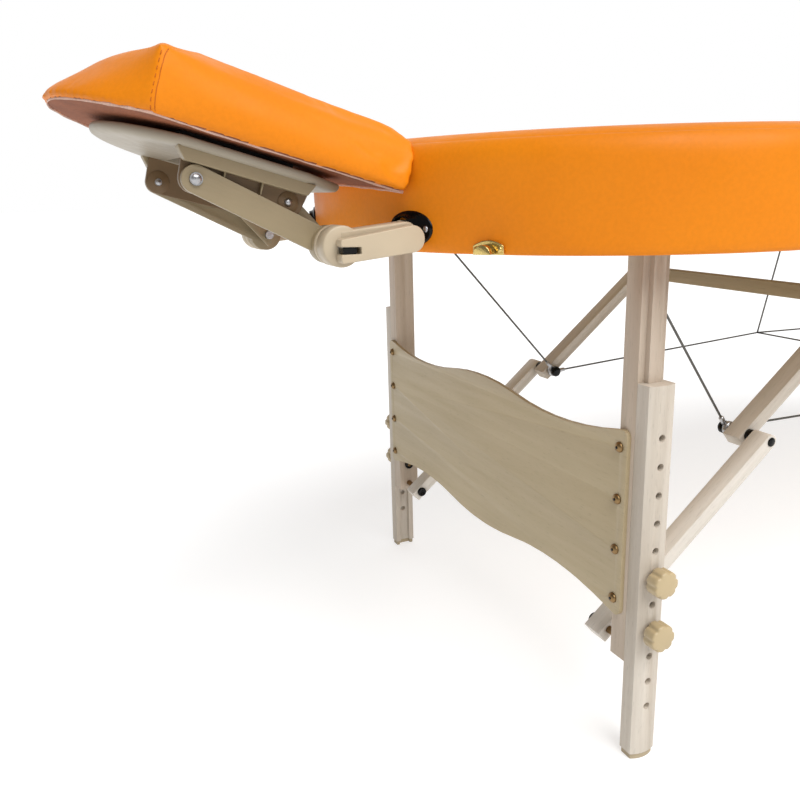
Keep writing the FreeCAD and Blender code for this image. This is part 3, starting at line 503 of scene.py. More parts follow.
def cover_ring(inset, back):
    """Points (reach, side) round one half, drawn in by inset and back, with their outward directions."""
    ring = []
    half = HALF_WIDTH - inset
    start = back + FOLD_ROUND
    quarter = math.pi / 2

    def arc(centre, radius, low, high, count):
        for index in range(count):
            angle = low + (high - low) * index / count
            way = Vector((math.cos(angle), math.sin(angle)))
            ring.append((Vector(centre) + way * radius, way))

    def line(first, last, way, count):
        for index in range(count):
            ring.append((Vector(first).lerp(Vector(last), index / count), Vector(way)))

    arc((start, -half + FOLD_ROUND), FOLD_ROUND, -2 * quarter, -quarter, FOLD_STEPS)
    line((start, -half), (SIDE_LENGTH, -half), (0, -1), SIDE_STEPS)
    arc((SIDE_LENGTH, -CORNER_SIDE), CORNER_RADIUS - inset, -quarter, -BLEND_ANGLE, CORNER_STEPS)
    arc((END_CENTRE, 0), END_RADIUS - inset, -BLEND_ANGLE, BLEND_ANGLE, END_STEPS)
    arc((SIDE_LENGTH, CORNER_SIDE), CORNER_RADIUS - inset, BLEND_ANGLE, quarter, CORNER_STEPS)
    line((SIDE_LENGTH, half), (start, half), (0, 1), SIDE_STEPS)
    arc((start, half - FOLD_ROUND), FOLD_ROUND, quarter, 2 * quarter, FOLD_STEPS)
    line((back, half - FOLD_ROUND), (back, -half + FOLD_ROUND), (-1, 0), FACE_STEPS)
    return ring


def latch_spot(end, side, height):
    """Where a latch sits on the curved wall, and the wall's direction there."""
    away = Vector((ENDS[end] * math.cos(LATCH_ANGLE), SIDES[side] * math.sin(LATCH_ANGLE), 0))
    centre = Vector((ENDS[end] * SIDE_LENGTH, SIDES[side] * CORNER_SIDE, 0))
    return Vector((FOLD.x, 0, height * MM)) + (centre + away * CORNER_RADIUS) * MM, away


def cover_push(place, height):
    """How far the cover stands out at a point of its wall."""
    wall = held((height - WALL_FOOT) / WALL_FOOT_FADE) * held((WALL_TOP - height) / WALL_TOP_FADE)
    push = sum(depth * wall * noise.noise(place * scale) for depth, scale in WALL_WAVES)
    rim = max(0.0, 1 - abs(height - RIM_HEIGHT) / RIM_FADE)
    return push + RIM_DEPTH * rim * noise.noise(Vector((place.x, place.y, 0)) * RIM_SCALE)


def make_cover(end):
    """The cover of one half with its padded top, dented at the latches."""
    points = []
    dents = [latch_spot(end, side, DENT_HEIGHT)[0] for side in SIDES]
    for height, inset, back in COVER_LEVELS:
        for place, way in cover_ring(inset, back):
            point = spot(end, place.x, place.y, height)
            push = 0 if way.x < FOLD_FACING else cover_push(point, height)
            for dent in dents:
                gap = (point - dent).length / (DENT_SPREAD * MM)
                push -= DENT_DEPTH * math.exp(-gap * gap)
            points.append(point + Vector((ENDS[end] * way.x, way.y, 0)) * push * MM)
    levels = len(COVER_LEVELS)
    faces = ring_faces(levels, len(points) // levels, closed_start=False)
    cover = add_mesh(f"{end}_upholstery", points, faces, VINYL, f"{end}_half", "vinyl")
    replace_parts(cover, f"{end}_pad", f"{end}_side_cover")


for each_end in ENDS:
    make_cover(each_end)


# Headrest cushion, drawn in its own tilted frame and then set in place

PAD_PLACE, PAD_TILT = spot("head", 931, 0, 604), math.radians(17)
TILT = Matrix.Translation(PAD_PLACE) @ Matrix.Rotation(PAD_TILT, 4, "Y")
UNTILT = TILT.inverted()
PAD_HALF, PAD_FRONT, PAD_REAR, PAD_NOSE, PAD_HOLLOW = 163, 246, 4, 80, 32
PAD_THICK, PAD_POINTS = 60, 40
# Room for the swelling, its grid and its longest move
PAD_SWELL, PAD_VOXEL, PAD_CAP = 2.5, 4.5, 6
# The rear edge leans; it and the front draw in by a fourth and a third of what the sides do
REAR_LEAN, REAR_DIVISOR, FRONT_DIVISOR, NOSE_POWER = 0.1, 4, 3, 2.3
# The lower edge is crisp round the front, where it draws in by a share only
CRISP_BELOW, CRISP_FROM, CRISP_TO, CRISP_SHARE = 6, -200, -250, 0.35
# The front corners stand out, and the top rises towards the front
PEAK_SPREAD, PEAK_START, PEAK_SIDE, PEAK_FORWARD = 36, 1.5, 0.8, 0.7
LIFT_SPREAD, LIFT_FROM, LIFT_SHARE = 130, 36, 0.25
# Lining: faces that look down, at the lowest level, in a darker brown that is partly the lining's own tone
# and partly painted shade
LINING_FACING, LINING_HEIGHT = -0.98, 0.8

# Height, how far the outline draws in, share of the nose
PAD_LEVELS = (
    (0, 20, 0.9), (0, 8, 0.96), (0.8, 4.5, 0.99), (2.6, 1.8, 1.01), (6, 0.4, 1.02), (13, -0.5, 0.95),
    (21, -0.5, 0.84), (29, 0, 0.73), (37, 1.5, 0.63), (44, 4, 0.54), (49.5, 8, 0.45), (53.5, 12, 0.36),
    (56.5, 20, 0.26), (58.5, 34, 0.15), (60, 60, 0.07), (60.5, 95, 0.02))

# Place and reach of the hold of the corner seams, and the height up to which the rim is held
SEAM_SPOT, SEAM_HOLD, RIM_HOLD = (-248, 159), 9, 3
# The seams are cast outwards from a rising row of points inside the cushion
SEAM_START, SEAM_RISE, SEAM_STEPS, SEAM_AWAY = (-200, 110, 2), 1.08, 49, (-0.65, 0.76)
STITCH_ASIDE, STITCH_PERIOD, STITCH_STEPS = 3.2, 6, 4
SEAM_RADIUS, STITCH_RADIUS, THREAD_LIFT, THREAD_SIDES = 0.35, 0.4, 0.1, 6

# Cut edge: level, centre, waves (depth, scale of the noise in 1/mm), unevenness and section
EDGE_LEVEL, EDGE_CENTRE, EDGE_WAVES = (0, 10, 0.96), Vector((-130, 0, 0)), ((1, 0.05), (0.6, 0.13))
EDGE_WANDER, EDGE_DROP, EDGE_DROP_WANDER = 0.8, 1.1, 0.7
EDGE_TOP, EDGE_TOP_HALF, EDGE_FOOT_HALF = 1.5, 0.5, 0.4


def softness(x):
    """How far the lower edge is drawn in at a point: fully at the sides, least round the front."""
    return 1 - held((x - CRISP_FROM) / (CRISP_TO - CRISP_FROM))


def cushion_ring(inset, nose, height):
    """Points round the cushion, drawn in by inset: hollow rear edge, left side, round front, right side."""
    half = PAD_HALF - inset
    rear = REAR_LEAN * height + PAD_REAR - inset / REAR_DIVISOR
    front = -(PAD_FRONT - inset / FRONT_DIVISOR)
    bow = PAD_NOSE * nose
    shares = [index / PAD_POINTS for index in range(PAD_POINTS)]
    ring = [Vector((rear - PAD_HOLLOW * (1 - (2 * share - 1) ** 2), half * (2 * share - 1), 0))
            for share in shares]
    ring += [Vector((rear + (front - rear) * share, half, 0)) for share in shares]
    ring += [Vector((front - bow * (1 - abs(1 - 2 * share) ** NOSE_POWER), half * (1 - 2 * share), 0))
             for share in shares]
    ring += [Vector((front + (rear - front) * share, -half, 0)) for share in shares]
    return ring


def cushion_level(height, inset, nose):
    """One level of the cushion, crisp at the lower front edge and peaked at the front corners."""
    soft_ring = cushion_ring(inset + PAD_SWELL, nose, height)
    crisp_ring = cushion_ring(CRISP_SHARE * inset + PAD_SWELL, nose, height)
    for place, crisp in zip(soft_ring, crisp_ring):
        if height < CRISP_BELOW:
            place = crisp.lerp(place, softness(place.x))
        near = Vector((place.x + PAD_FRONT, PAD_HALF - abs(place.y))) / PEAK_SPREAD
        corner = math.exp(-near.length_squared)
        out = corner * max(0.0, inset + PEAK_START) * PEAK_SIDE if height > CRISP_BELOW else 0
        front = math.exp(-(max(0.0, place.x + PAD_FRONT) / LIFT_SPREAD) ** 2)
        lift = front * max(0.0, height - LIFT_FROM) * LIFT_SHARE - PAD_SWELL * height / PAD_THICK
        yield Vector((place.x - out * PEAK_FORWARD, place.y + math.copysign(out, place.y), height + lift))


def is_sewn(place):
    """Tells the points that a seam holds, at the lower rim and the front corners."""
    x, y, height = UNTILT @ place / MM
    return height < RIM_HOLD or math.hypot(x - SEAM_SPOT[0], abs(y) - SEAM_SPOT[1]) < SEAM_HOLD


def make_cushion():
    """The cushion's cover, swollen by cloth pressure, with lining on the underside."""
    points = [TILT @ (place * MM) for level in PAD_LEVELS for place in cushion_level(*level)]
    levels = len(PAD_LEVELS)
    faces = ring_faces(levels, len(points) // levels)
    cushion = add_mesh("headrest_pad", points, faces, VINYL, None, "vinyl")
    inflate(cushion, PAD_VOXEL, PAD_CAP, is_sewn)
    cushion.data.materials.clear()
    cushion.data.materials.append(VINYL)
    cushion.data.materials.append(LINING)
    turn = UNTILT.to_3x3()
    for face in cushion.data.polygons:
        is_low = (UNTILT @ face.center).z < LINING_HEIGHT * MM
        if is_low and (turn @ face.normal).z < LINING_FACING:
            face.material_index = 1
    fine = cushion.modifiers.new("fine", "SUBSURF")
    fine.levels = 1
    fine.render_levels = 1
    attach(cushion, "headrest")
    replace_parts(cushion, "headrest_cushion")
    return cushion


def make_corner_seam(side, surface):
    """The upright seam at a front corner: a sunk thread and a row of stitches beside it."""
    sign = SIDES[side]
    x, y, height = SEAM_START
    away = Vector((SEAM_AWAY[0], sign * SEAM_AWAY[1], 0))
    aside = Vector((sign * SEAM_AWAY[1], -SEAM_AWAY[0], 0)) * STITCH_ASIDE
    seam = []
    stitches = []
    for step in range(SEAM_STEPS):
        inner = Vector((x, sign * y, height + step * SEAM_RISE))
        hits = []
        for start in (inner, inner + aside):
            place, facing = surface.ray_cast(TILT @ (start * MM), TILT.to_3x3() @ away)[:2]
            hits.append(place + facing * THREAD_LIFT * MM)
        seam.append(hits[0])
        if step % STITCH_PERIOD == 0:
            stitches.append([])
        if step % STITCH_PERIOD < STITCH_STEPS:
            stitches[-1].append(hits[1])
    whole = [stitch for stitch in stitches if len(stitch) > 1]
    tubes(f"headrest_seam_{side}", [seam], SEAM_RADIUS, THREAD, "headrest", "vinyl", THREAD_SIDES)
    tubes(f"headrest_stitches_{side}", whole, STITCH_RADIUS, THREAD, "headrest", "vinyl", THREAD_SIDES)


def make_raw_edge():
    """The cut edge of the cover that hangs below the cushion's rim."""
    points = []
    ring = list(cushion_level(*EDGE_LEVEL))
    for place in ring:
        wave = sum(depth * noise.noise(place * scale) for depth, scale in EDGE_WAVES)
        out = (place - EDGE_CENTRE).normalized()
        edge = place + out * wave * EDGE_WANDER
        foot = -(EDGE_DROP + EDGE_DROP_WANDER * wave)
        for push, height in ((EDGE_TOP_HALF, EDGE_TOP), (EDGE_FOOT_HALF, foot), (-EDGE_FOOT_HALF, foot),
                             (-EDGE_TOP_HALF, EDGE_TOP)):
            points.append(TILT @ ((edge + out * push + Vector((0, 0, height))) * MM))
    faces = loop_faces(len(ring), len(points) // len(ring))
    add_mesh("headrest_raw_edge", points, faces, RAW_EDGE, "headrest", "vinyl")


def dress_cushion(cushion):
    surface = BVHTree.FromPolygons([vertex.co for vertex in cushion.data.vertices],
                                   [face.vertices for face in cushion.data.polygons])
    for side in SIDES:
        make_corner_seam(side, surface)
    make_raw_edge()


dress_cushion(make_cushion())


# Headrest carrier, drawn in the cushion's frame

PLATE_REAR, PLATE_FRONT, PLATE_FLANK, PLATE_NOSE = 50, 210, 90, 70
PLATE_HALF, PLATE_REAR_HALF, PLATE_STEPS = 130, 110, 40
# Height and how far the outline draws in, round the outer rim
PLATE_RIM = ((-6, 9), (-6, 4), (-6.4, 1.5), (-7.5, 0.3), (-10, 0), (-12.5, 0.5), (-14.5, 2.2), (-15.6, 5),
                (-16, 9))
# The opening's share of the plate, its front and the heights of its wall
OPENING_SHARE, OPENING_FRONT, OPENING_HEIGHTS = 0.76, -188, (-15, -14, -7, -6)
BRACKET_INNER, BRACKET_OUTER = 104, 111.4
RIB = ((-1, -26), (1, -26), (0.6, -38), (-0.6, -38))
# Pieces under each side of the plate: outline, inner and outer side, broken edge, material
# The brackets take the darker brown, which is partly painted shade under the cushion
UNDER_PLATE = {
    "carrier_bracket_{}": (rounded((-206, -15, 1), (-204, -54, 13.4), (-86, -50.5, 12), (-78, -15, 2)),
                           BRACKET_INNER, BRACKET_OUTER, 0.8, SHADED_BROWN),
    "carrier_flange_{}": (rounded((-214, -15, 1), (-204, -27, 2), (-84, -27, 2), (-78, -15, 1)),
                          BRACKET_OUTER - 3, 125, 1.0, BEIGE),
    "carrier_rib_{}_0": ([(x - 165, height) for x, height in RIB], BRACKET_OUTER, 118, 0.3, BEIGE),
    "carrier_rib_{}_1": ([(x - 128, height) for x, height in RIB], BRACKET_OUTER, 118, 0.3, BEIGE)}


def platform_ring(inset):
    """Points round the carrier's plate, drawn in by inset."""
    radius = (PLATE_HALF ** 2 + PLATE_NOSE ** 2) / (2 * PLATE_NOSE)
    centre = -(PLATE_FRONT + PLATE_NOSE) + radius
    half = PLATE_HALF - inset
    rear = -(PLATE_REAR + inset)
    bend = radius - inset
    reach = math.asin(half / bend)
    ring = [Vector((rear, -PLATE_REAR_HALF + inset, 0)), Vector((rear, PLATE_REAR_HALF - inset, 0)),
            Vector((-PLATE_FLANK, half, 0))]
    for index in range(PLATE_STEPS + 1):
        angle = math.pi - reach + 2 * reach * index / PLATE_STEPS
        ring.append(Vector((centre + bend * math.cos(angle), bend * math.sin(angle), 0)))
    ring.append(Vector((-PLATE_FLANK, -half, 0)))
    return ring


def make_plate():
    """Moulded plate with a rounded rim and an opening."""
    rings = [[place + Vector((0, 0, height)) for place in platform_ring(inset)]
             for height, inset in PLATE_RIM]
    count = len(rings[0])
    middle = sum(rings[0], Vector()) / count
    inner = [middle.lerp(place, OPENING_SHARE) for place in platform_ring(0)]
    for height in OPENING_HEIGHTS:
        rings.append([Vector((max(place.x, OPENING_FRONT), place.y, height)) for place in inner])
    points = [TILT @ (ring[index] * MM) for index in range(count) for ring in rings]
    faces = loop_faces(count, len(rings))
    plate = add_mesh("carrier_plate", points, faces, PLATFORM, "headrest", "beige_plastic")
    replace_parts(plate, "headrest_platform")


def make_brackets():
    """Under each side of the plate a bracket with its flange and ribs."""
    for side, sign in SIDES.items():
        for name, (outline, inner, outer, edge, material) in UNDER_PLATE.items():
            prism(name.format(side), outline, on_side(sign, inner, outer), TILT, edge, material,
                  "headrest", "beige_plastic")


make_plate()
make_brackets()


# Headrest fittings

# Round pieces: material, slot, points round the axis, outline, place (reach, side, height), way outwards
HEADREST_ROUNDS = {
    "rivet": (STEEL, "steel", 28, dome(6.2), (1125, 121, 621), 1),
    "rivet_end": (STEEL, "steel", 28, dome(4.2), (1125, BRACKET_INNER, 621), -1),
    # The ear and the boss of a bracket take the darker brown, partly painted shade
    "bracket_ear": (SHADED_BROWN, "beige_plastic", 40, ((-1, 13), (0.5, 13), (0.9, 12.6), (0.9, TIP)),
                    (1125, BRACKET_INNER, 621), -1),
    "screw_boss": (SHADED_BROWN, "beige_plastic", 40, ((-1, 10.5), (0.5, 10.5), (0.9, 10.1), (0.9, TIP)),
                   (1036, BRACKET_OUTER, 597), 1),
    "rear_screw": (STEEL, "steel", 28, dome(4), (1036, 112.2, 597), 1)}
HUB_REACH, HUB_HEIGHT = 999, 555
HUB = spot("head", HUB_REACH, 0, HUB_HEIGHT)
# The fixed half of a hub, along the axis of both hubs
KNUCKLE = ((131, TIP), (131, 18.4), (131.7, 19.5), (133, 20), (139.4, 20), (139.8, 19.3), (140.2, 20),
           (158, 20), (159.4, 19.4), (160, 18.2), (160, TIP))
HOUSING_SPAN, HOUSING_EDGE = (136, 160.4), 1.8
HOUSING = rounded((-2, 14.4, 2), (79, 21.6, 11), (79, -6, 11), (-2, -13, 2))
PRONG_START, PRONG_SIDE, PRONG_HEIGHT = 68, 140.5, 568
PRONG = ((0, 8.6), (60, 8.6), (62, 7.6), (62.6, TIP))
LEVER_SPAN, LEVER_EDGE, PIN_SPAN, PIN_EDGE = (162.3, 176.3), 1.6, (161, 174.5), 0.8
LEVER = rounded((-7.5, 7.4, 2.4), (80, 19.6, 12.6), (80, -7.4, 12.6), (-7.5, -15.2, 3), (-7.5, -6.4, 1.4),
                (13, -6.8, 1), (13, -0.2, 1), (-7.5, 0.8, 1.4))
PIN = rounded((-5, 0.2, 1), (9, -0.4, 1), (9, -6.4, 1), (-5, -6, 1))
COLLAR_SIDE, COLLAR_WIDE, COLLAR_TALL, COLLAR_BORE, COLLAR_STEPS = 147, 30, 17.8, 12, 64
COLLAR_ANGLE, PRONG_ANGLE = math.asin(COLLAR_SIDE / END_RADIUS), math.asin(PRONG_SIDE / END_RADIUS)
# How far a level stands out of the wall, and its share of the way from the flange to the bore
COLLAR_LEVELS = ((-2, 0), (1.6, 0), (2.8, 0.05), (3.4, 0.16), (3.8, 0.5), (5, 0.72), (8, 0.84), (9, 0.94),
                 (8.6, 1), (1.5, 1))
COLLAR_SCREW_ASIDE, COLLAR_SCREW_OUT, COLLAR_SCREW_RADIUS = 22.5, 3.4, 3.2


def end_wall_way(sign, angle):
    """The outward direction of the head end's wall at an angle from the middle."""
    return Vector((-math.cos(angle), sign * math.sin(angle), 0))


def end_wall_spot(sign, angle, height, out):
    """A point that stands out of the head end's wall."""
    return spot("head", END_CENTRE, 0, height) + end_wall_way(sign, angle) * (END_RADIUS + out) * MM


def make_collar(side, sign):
    """The oval flange of a socket, bent to the wall, with a screw at either end."""
    points = []
    for out, share in COLLAR_LEVELS:
        wide = COLLAR_WIDE + (COLLAR_BORE - COLLAR_WIDE) * share
        tall = COLLAR_TALL + (COLLAR_BORE - COLLAR_TALL) * share
        middle = COLLAR_ANGLE + (PRONG_ANGLE - COLLAR_ANGLE) * share
        for index in range(COLLAR_STEPS):
            turn = 2 * math.pi * index / COLLAR_STEPS
            angle = middle + wide * math.cos(turn) / END_RADIUS
            points.append(end_wall_spot(sign, angle, PRONG_HEIGHT + tall * math.sin(turn), out))
    faces = ring_faces(len(COLLAR_LEVELS), COLLAR_STEPS, closed_start=False)
    collar = add_mesh(f"socket_collar_{side}", points, faces, BLACK, "head_half", "black_plastic")
    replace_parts(collar, "headrest_sockets")
    for number, way in enumerate((-1, 1)):
        angle = COLLAR_ANGLE + way * COLLAR_SCREW_ASIDE / END_RADIUS
        place = end_wall_spot(sign, angle, PRONG_HEIGHT, COLLAR_SCREW_OUT)
        turned(f"collar_screw_{side}_{number}", place, end_wall_way(sign, angle), dome(COLLAR_SCREW_RADIUS),
               STEEL, "head_half", "steel", count=20)


def make_prong(side, sign):
    """The fixed half of a hub with its housing and the prong that goes into the socket."""
    piece = turned(f"hub_knuckle_{side}", HUB, (0, sign, 0), KNUCKLE, PALE, "headrest_base", "beige_plastic",
                   count=56)
    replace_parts(piece, "headrest_prongs")
    prism(f"prong_housing_{side}", HOUSING, on_side(sign, *HOUSING_SPAN), Matrix.Translation(HUB),
          HOUSING_EDGE, PALE, "headrest_base", "beige_plastic")
    root = spot("head", HUB_REACH - PRONG_START, sign * PRONG_SIDE, PRONG_HEIGHT)
    turned(f"prong_{side}", root, ALONG_X, PRONG, PALE, "headrest_base", "beige_plastic", count=32)


def make_lever(side, sign):
    """A cam lever and its black pin."""
    place = Matrix.Translation(HUB)
    piece = prism(f"lever_{side}", LEVER, on_side(sign, *LEVER_SPAN), place, LEVER_EDGE, PALE,
                  f"cam_lever_{side}", "beige_plastic")
    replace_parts(piece, f"cam_lever_{side}")
    prism(f"lever_pin_{side}", PIN, on_side(sign, *PIN_SPAN), place, PIN_EDGE, BLACK,
          f"cam_lever_{side}", "black_plastic")


for each_side, each_sign in SIDES.items():
    for each_name, each_row in HEADREST_ROUNDS.items():
        add_round(f"{each_name}_{each_side}", each_row, "head", each_sign, "headrest")
    make_lever(each_side, each_sign)
    make_prong(each_side, each_sign)
    make_collar(each_side, each_sign)


# Case latches

LATCH_WIDE, LATCH_TALL, LATCH_EAR, LATCH_FOOT, LATCH_STEPS = 16.2, 13.6, 8.6, 545, 16
LATCH_SPAN, LATCH_EDGE = (-1.5, 2.1), 1.1
LATCH_SCREW_ASIDE, LATCH_SCREW_OUT, LATCH_SCREW_UP, LATCH_SCREW_RADIUS = 12, 1.9, 5, 2.9


def make_latch(end, side):
    """An arched plate with two screws."""
    place, away = latch_spot(end, side, LATCH_FOOT)
    across = away.cross(UP)
    axes = Matrix((across, away, UP)).transposed().to_4x4()
    arch = [(-LATCH_WIDE, 0), (LATCH_WIDE, 0)]
    for index in range(LATCH_STEPS + 1):
        share = 1 - 2 * index / LATCH_STEPS
        arch.append((LATCH_WIDE * share, LATCH_TALL - (LATCH_TALL - LATCH_EAR) * share * share))
    plate = prism(f"{end}_{side}_latch_plate", arch, LATCH_SPAN, Matrix.Translation(place) @ axes, LATCH_EDGE,
                  BRASS, f"{end}_half", "brass")
    for number, way in enumerate((-1, 1)):
        offset = across * way * LATCH_SCREW_ASIDE + away * LATCH_SCREW_OUT + UP * LATCH_SCREW_UP
        turned(f"{end}_{side}_latch_screw_{number}", place + offset * MM, away, dome(LATCH_SCREW_RADIUS),
               BRASS, f"{end}_half", "brass", count=20)
    return plate


def make_latches():
    for end, node in (("head", "latch_plates"), ("foot", "latch_keepers")):
        for side in SIDES:
            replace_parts(make_latch(end, side), node)


make_latches()


# Leg hardware

LEG_REACH, LEG_DEPTH, LEG_INNER, PANEL_THICK = 735, 32, 275, 5
KNOB_FACE, KNOB_HEIGHTS = 318.3, {"high": 215, "low": 155}
KNOB_OUTLINE = ((0, 7.6), (0.4, 8.6), (3.6, 9), (4, 13.4), (4.5, 14.5), (5.6, 15), (16.4, 15), (17.8, 14.7),
                (18.7, 13.8), (19, 12.6), (19.1, 7), (19.1, TIP))
# Hollows of a knob: number, depth, shape and the radius they start at
LOBES, LOBE_DEPTH, LOBE_POWER, LOBE_FROM = 7, 0.11, 1.4, 12
NUT = ((-1, 7), (3.4, 7), (4, 6.4), (4.2, 3.4), (2.6, 3), (2.6, TIP))
SCREW_SIDE, SCREW_TOP, SCREW_PITCH, SCREWS_PER_LEG, SCREW_RADIUS = 281, 349, 56, 4, 5.6
# A black square in a screw's head: painted shade in its drive recess
RECESS_SHADE = ((3.4, 1.9), (4.3, 1.9), (4.3, TIP))
# Inner and outer side of the brace bars, and the joint between them
LOWER_ARM, UPPER_ARM, JOINT_REACH, JOINT_HEIGHT = (227.5, 252.5), (194, 219), 508, 307
# Round pieces as on the headrest, after the part they ride on
LEG_ROUNDS = {
    "brace_bolt_head": ("legs", BLACK, "black_plastic", 24,
                        ((-1, 7.2), (3.2, 7.2), (4, 6.4), (4, 3.6), (2, 3.4), (2, TIP)),
                        (LEG_REACH, LOWER_ARM[0], 122), -1),
    "joint_head": ("lower_brace", BLACK, "black_plastic", 24,
                   ((-0.5, 5.6), (0.8, 5.6), (1.2, 5), (1.2, TIP)),
                   (JOINT_REACH, LOWER_ARM[1], JOINT_HEIGHT), 1),
    "joint_spacer": ("upper_braces", BLACK, "black_plastic", 24,
                     ((0, 6.9), (0.5, 7.4), (8.7, 7.4), (9.2, 6.9)),
                     (JOINT_REACH, UPPER_ARM[1] - 1, JOINT_HEIGHT), 1),
    "cable_eye": ("upper_braces", STEEL, "steel", 28,
                  ((-1, 5), (3, 5), (3, 8.4), (4, 9.2), (8, 9.2), (9, 8.4), (9, 4), (11, 4)),
                  (JOINT_REACH, UPPER_ARM[0], JOINT_HEIGHT), -1),
    "joint_cap": ("upper_braces", BLACK, "black_plastic", 28,
                  ((0, 7.4), (1, 8.2), (6, 8.2), (8, 6.6), (8.6, 3), (8.6, TIP)),
                  (JOINT_REACH, UPPER_ARM[0] - 10, JOINT_HEIGHT), -1)}


def knob_lobes(angle, radius):
    """Shallow hollows round the rim of a knob."""
    return 1 - LOBE_DEPTH * max(0.0, math.cos(LOBES * angle)) ** LOBE_POWER if radius > LOBE_FROM else 1


def make_leg_hardware(end, side, sign):
    """Knobs, nuts, panel screws with black squares of painted shade in their recesses, and the fittings of
    the braces at one leg.
    """
    axis = Vector((0, sign, 0))
    out = Vector((ENDS[end], 0, 0))
    leg = f"{end}_{side}"
    legs = f"{end}_legs"
    for level, height in KNOB_HEIGHTS.items():
        place = spot(end, LEG_REACH, sign * KNOB_FACE, height)
        knob = turned(f"{leg}_{level}_knob", place, axis, KNOB_OUTLINE, KNOB, f"{leg}_knob_{level}",
                      "knob_plastic", count=84, lobes=knob_lobes)
        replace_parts(knob, f"{end}_{side}_knob_{level}")
        place = spot(end, LEG_REACH, sign * LEG_INNER, height)
        turned(f"{leg}_{level}_nut", place, -axis, NUT, BLACK, legs, "black_plastic", count=24)
    for number in range(SCREWS_PER_LEG):
        place = spot(end, LEG_REACH + LEG_DEPTH / 2 + PANEL_THICK, sign * SCREW_SIDE,
                     SCREW_TOP - number * SCREW_PITCH)
        turned(f"{leg}_screw_{number}", place, out, dome(SCREW_RADIUS), BRONZE, legs, "bronze", count=24)
        turned(f"{leg}_recess_{number}", place, out, RECESS_SHADE, BLACK, legs, "bronze", count=4)
    for name, (part, *row) in LEG_ROUNDS.items():
        body = f"{leg}_{part}" if part == "lower_brace" else f"{end}_{part}"
        add_round(f"{leg}_{name}", row, end, sign, body)


for each_end in ENDS:
    for each_side, each_sign in SIDES.items():
        make_leg_hardware(each_end, each_side, each_sign)


# Cables

CABLE_SIDE, CABLE_RADIUS, CABLE_STEPS, CABLE_SIDES = 184, 1.5, 16, 8
ANCHOR_REACH, ANCHOR_SIDE, ANCHOR_HEIGHT = 752, 232, 598.7
NODE_SIDE, NODE_HEIGHT = 232, 314
HANGER_REACH, HANGER_SIDE, HANGER_HEIGHT = 28, 145, 598.7
# Share of a foot fold cable at which it is split in two
FOLD_SHARE = 0.4
FERRULE = ((7, 2.4), (8, 3.2), (20, 3.2), (21, 2.6), (22, 1.4))


def cable(name, first, last, body):
    """A taut cable between two points."""
    path = [first.lerp(last, step / CABLE_STEPS) for step in range(CABLE_STEPS + 1)]
    return tubes(name, [path], CABLE_RADIUS, DARK_STEEL, body, "steel", CABLE_SIDES)


def ferrule(name, first, last, body):
    """The crimped sleeve at the start of a cable."""
    turned(name, first, last - first, FERRULE, STEEL, body, "steel", count=16)


def make_cables(side, sign):
    """The cables of one side, from the joints of the braces to the deck and the node."""
    node = spot("head", 0, sign * NODE_SIDE, NODE_HEIGHT)
    joints = {end: spot(end, JOINT_REACH, sign * CABLE_SIDE, JOINT_HEIGHT) for end in ENDS}
    for end in ENDS:
        braces = f"{end}_upper_braces"
        joint = joints[end]
        anchor = spot(end, ANCHOR_REACH, sign * ANCHOR_SIDE, ANCHOR_HEIGHT)
        leg_cable = cable(f"{end}_{side}_leg_cable", anchor, joint, None)
        tuple(joint)
        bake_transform(leg_cable)
        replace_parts(leg_cable, "steel_cables")
        ferrule(f"{end}_{side}_leg_ferrule", joint, anchor, braces)
        ferrule(f"{end}_{side}_fold_ferrule", joint, node, braces)
    joint = joints["head"]
    fold_cable = cable(f"head_{side}_fold_cable", node, joint, None)
    tuple(joint)
    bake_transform(fold_cable)
    joint = joints["foot"]
    middle = node.lerp(joint, FOLD_SHARE)
    near_cable = cable(f"foot_{side}_fold_cable_near", node, middle, None)
    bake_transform(near_cable)
    far_cable = cable(f"foot_{side}_fold_cable_far", middle, joint, None)
    tuple(joint)
    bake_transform(far_cable)
    hanger = spot("head", HANGER_REACH, sign * HANGER_SIDE, HANGER_HEIGHT)
    cable(f"{side}_hanger_cable", node, hanger, "head_half")


for each_side, each_sign in SIDES.items():
    make_cables(each_side, each_sign)
cable("cross_cable", spot("head", 0, -NODE_SIDE, NODE_HEIGHT), spot("head", 0, NODE_SIDE, NODE_HEIGHT),
      "head_half")


# Finishes of the CAD nodes

# Materials of the nodes and the widths of their broken edges, 0 for edges that stay sharp
WHOLE_FINISHES = {
    "headrest_arms": (BEIGE, 1.4), "hook_strips": (TAPE, 0), "headrest_pins": (STEEL, 0),
    "latch_turn_left": (BRASS, 0.8), "latch_turn_right": (BRASS, 0.8)}
END_FINISHES = {
    "deck": (FRAME_WOOD, 0), "end_rail": (FRAME_WOOD, 0), "side_rails": (FRAME_WOOD, 0),
    "fold_rail": (FRAME_WOOD, 0), "pivot_blocks": (FRAME_WOOD, 0), "hinge_leaf": (STEEL, 0),
    "leg_fasteners": (BRONZE, 0), "upper_legs": (UPPER_WOOD, 1.2), "leg_panel": (PANEL_WOOD, 0.6),
    "stretcher": (STRETCHER_WOOD, 1.2)}
LEG_FINISHES = {"lower_leg": (LOWER_WOOD, 1.2), "foot": (FOOT, 0.8)}
BRACE_EDGE = 1.0


def arm_wood(name, node, tones):
    """Wood whose grain runs along a slanting brace."""
    low, high = (Vector(corner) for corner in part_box(node))
    rising = 1 if node.startswith("head") else -1
    return wood(name, *tones, (rising * (high.x - low.x), 0, high.z - low.z))


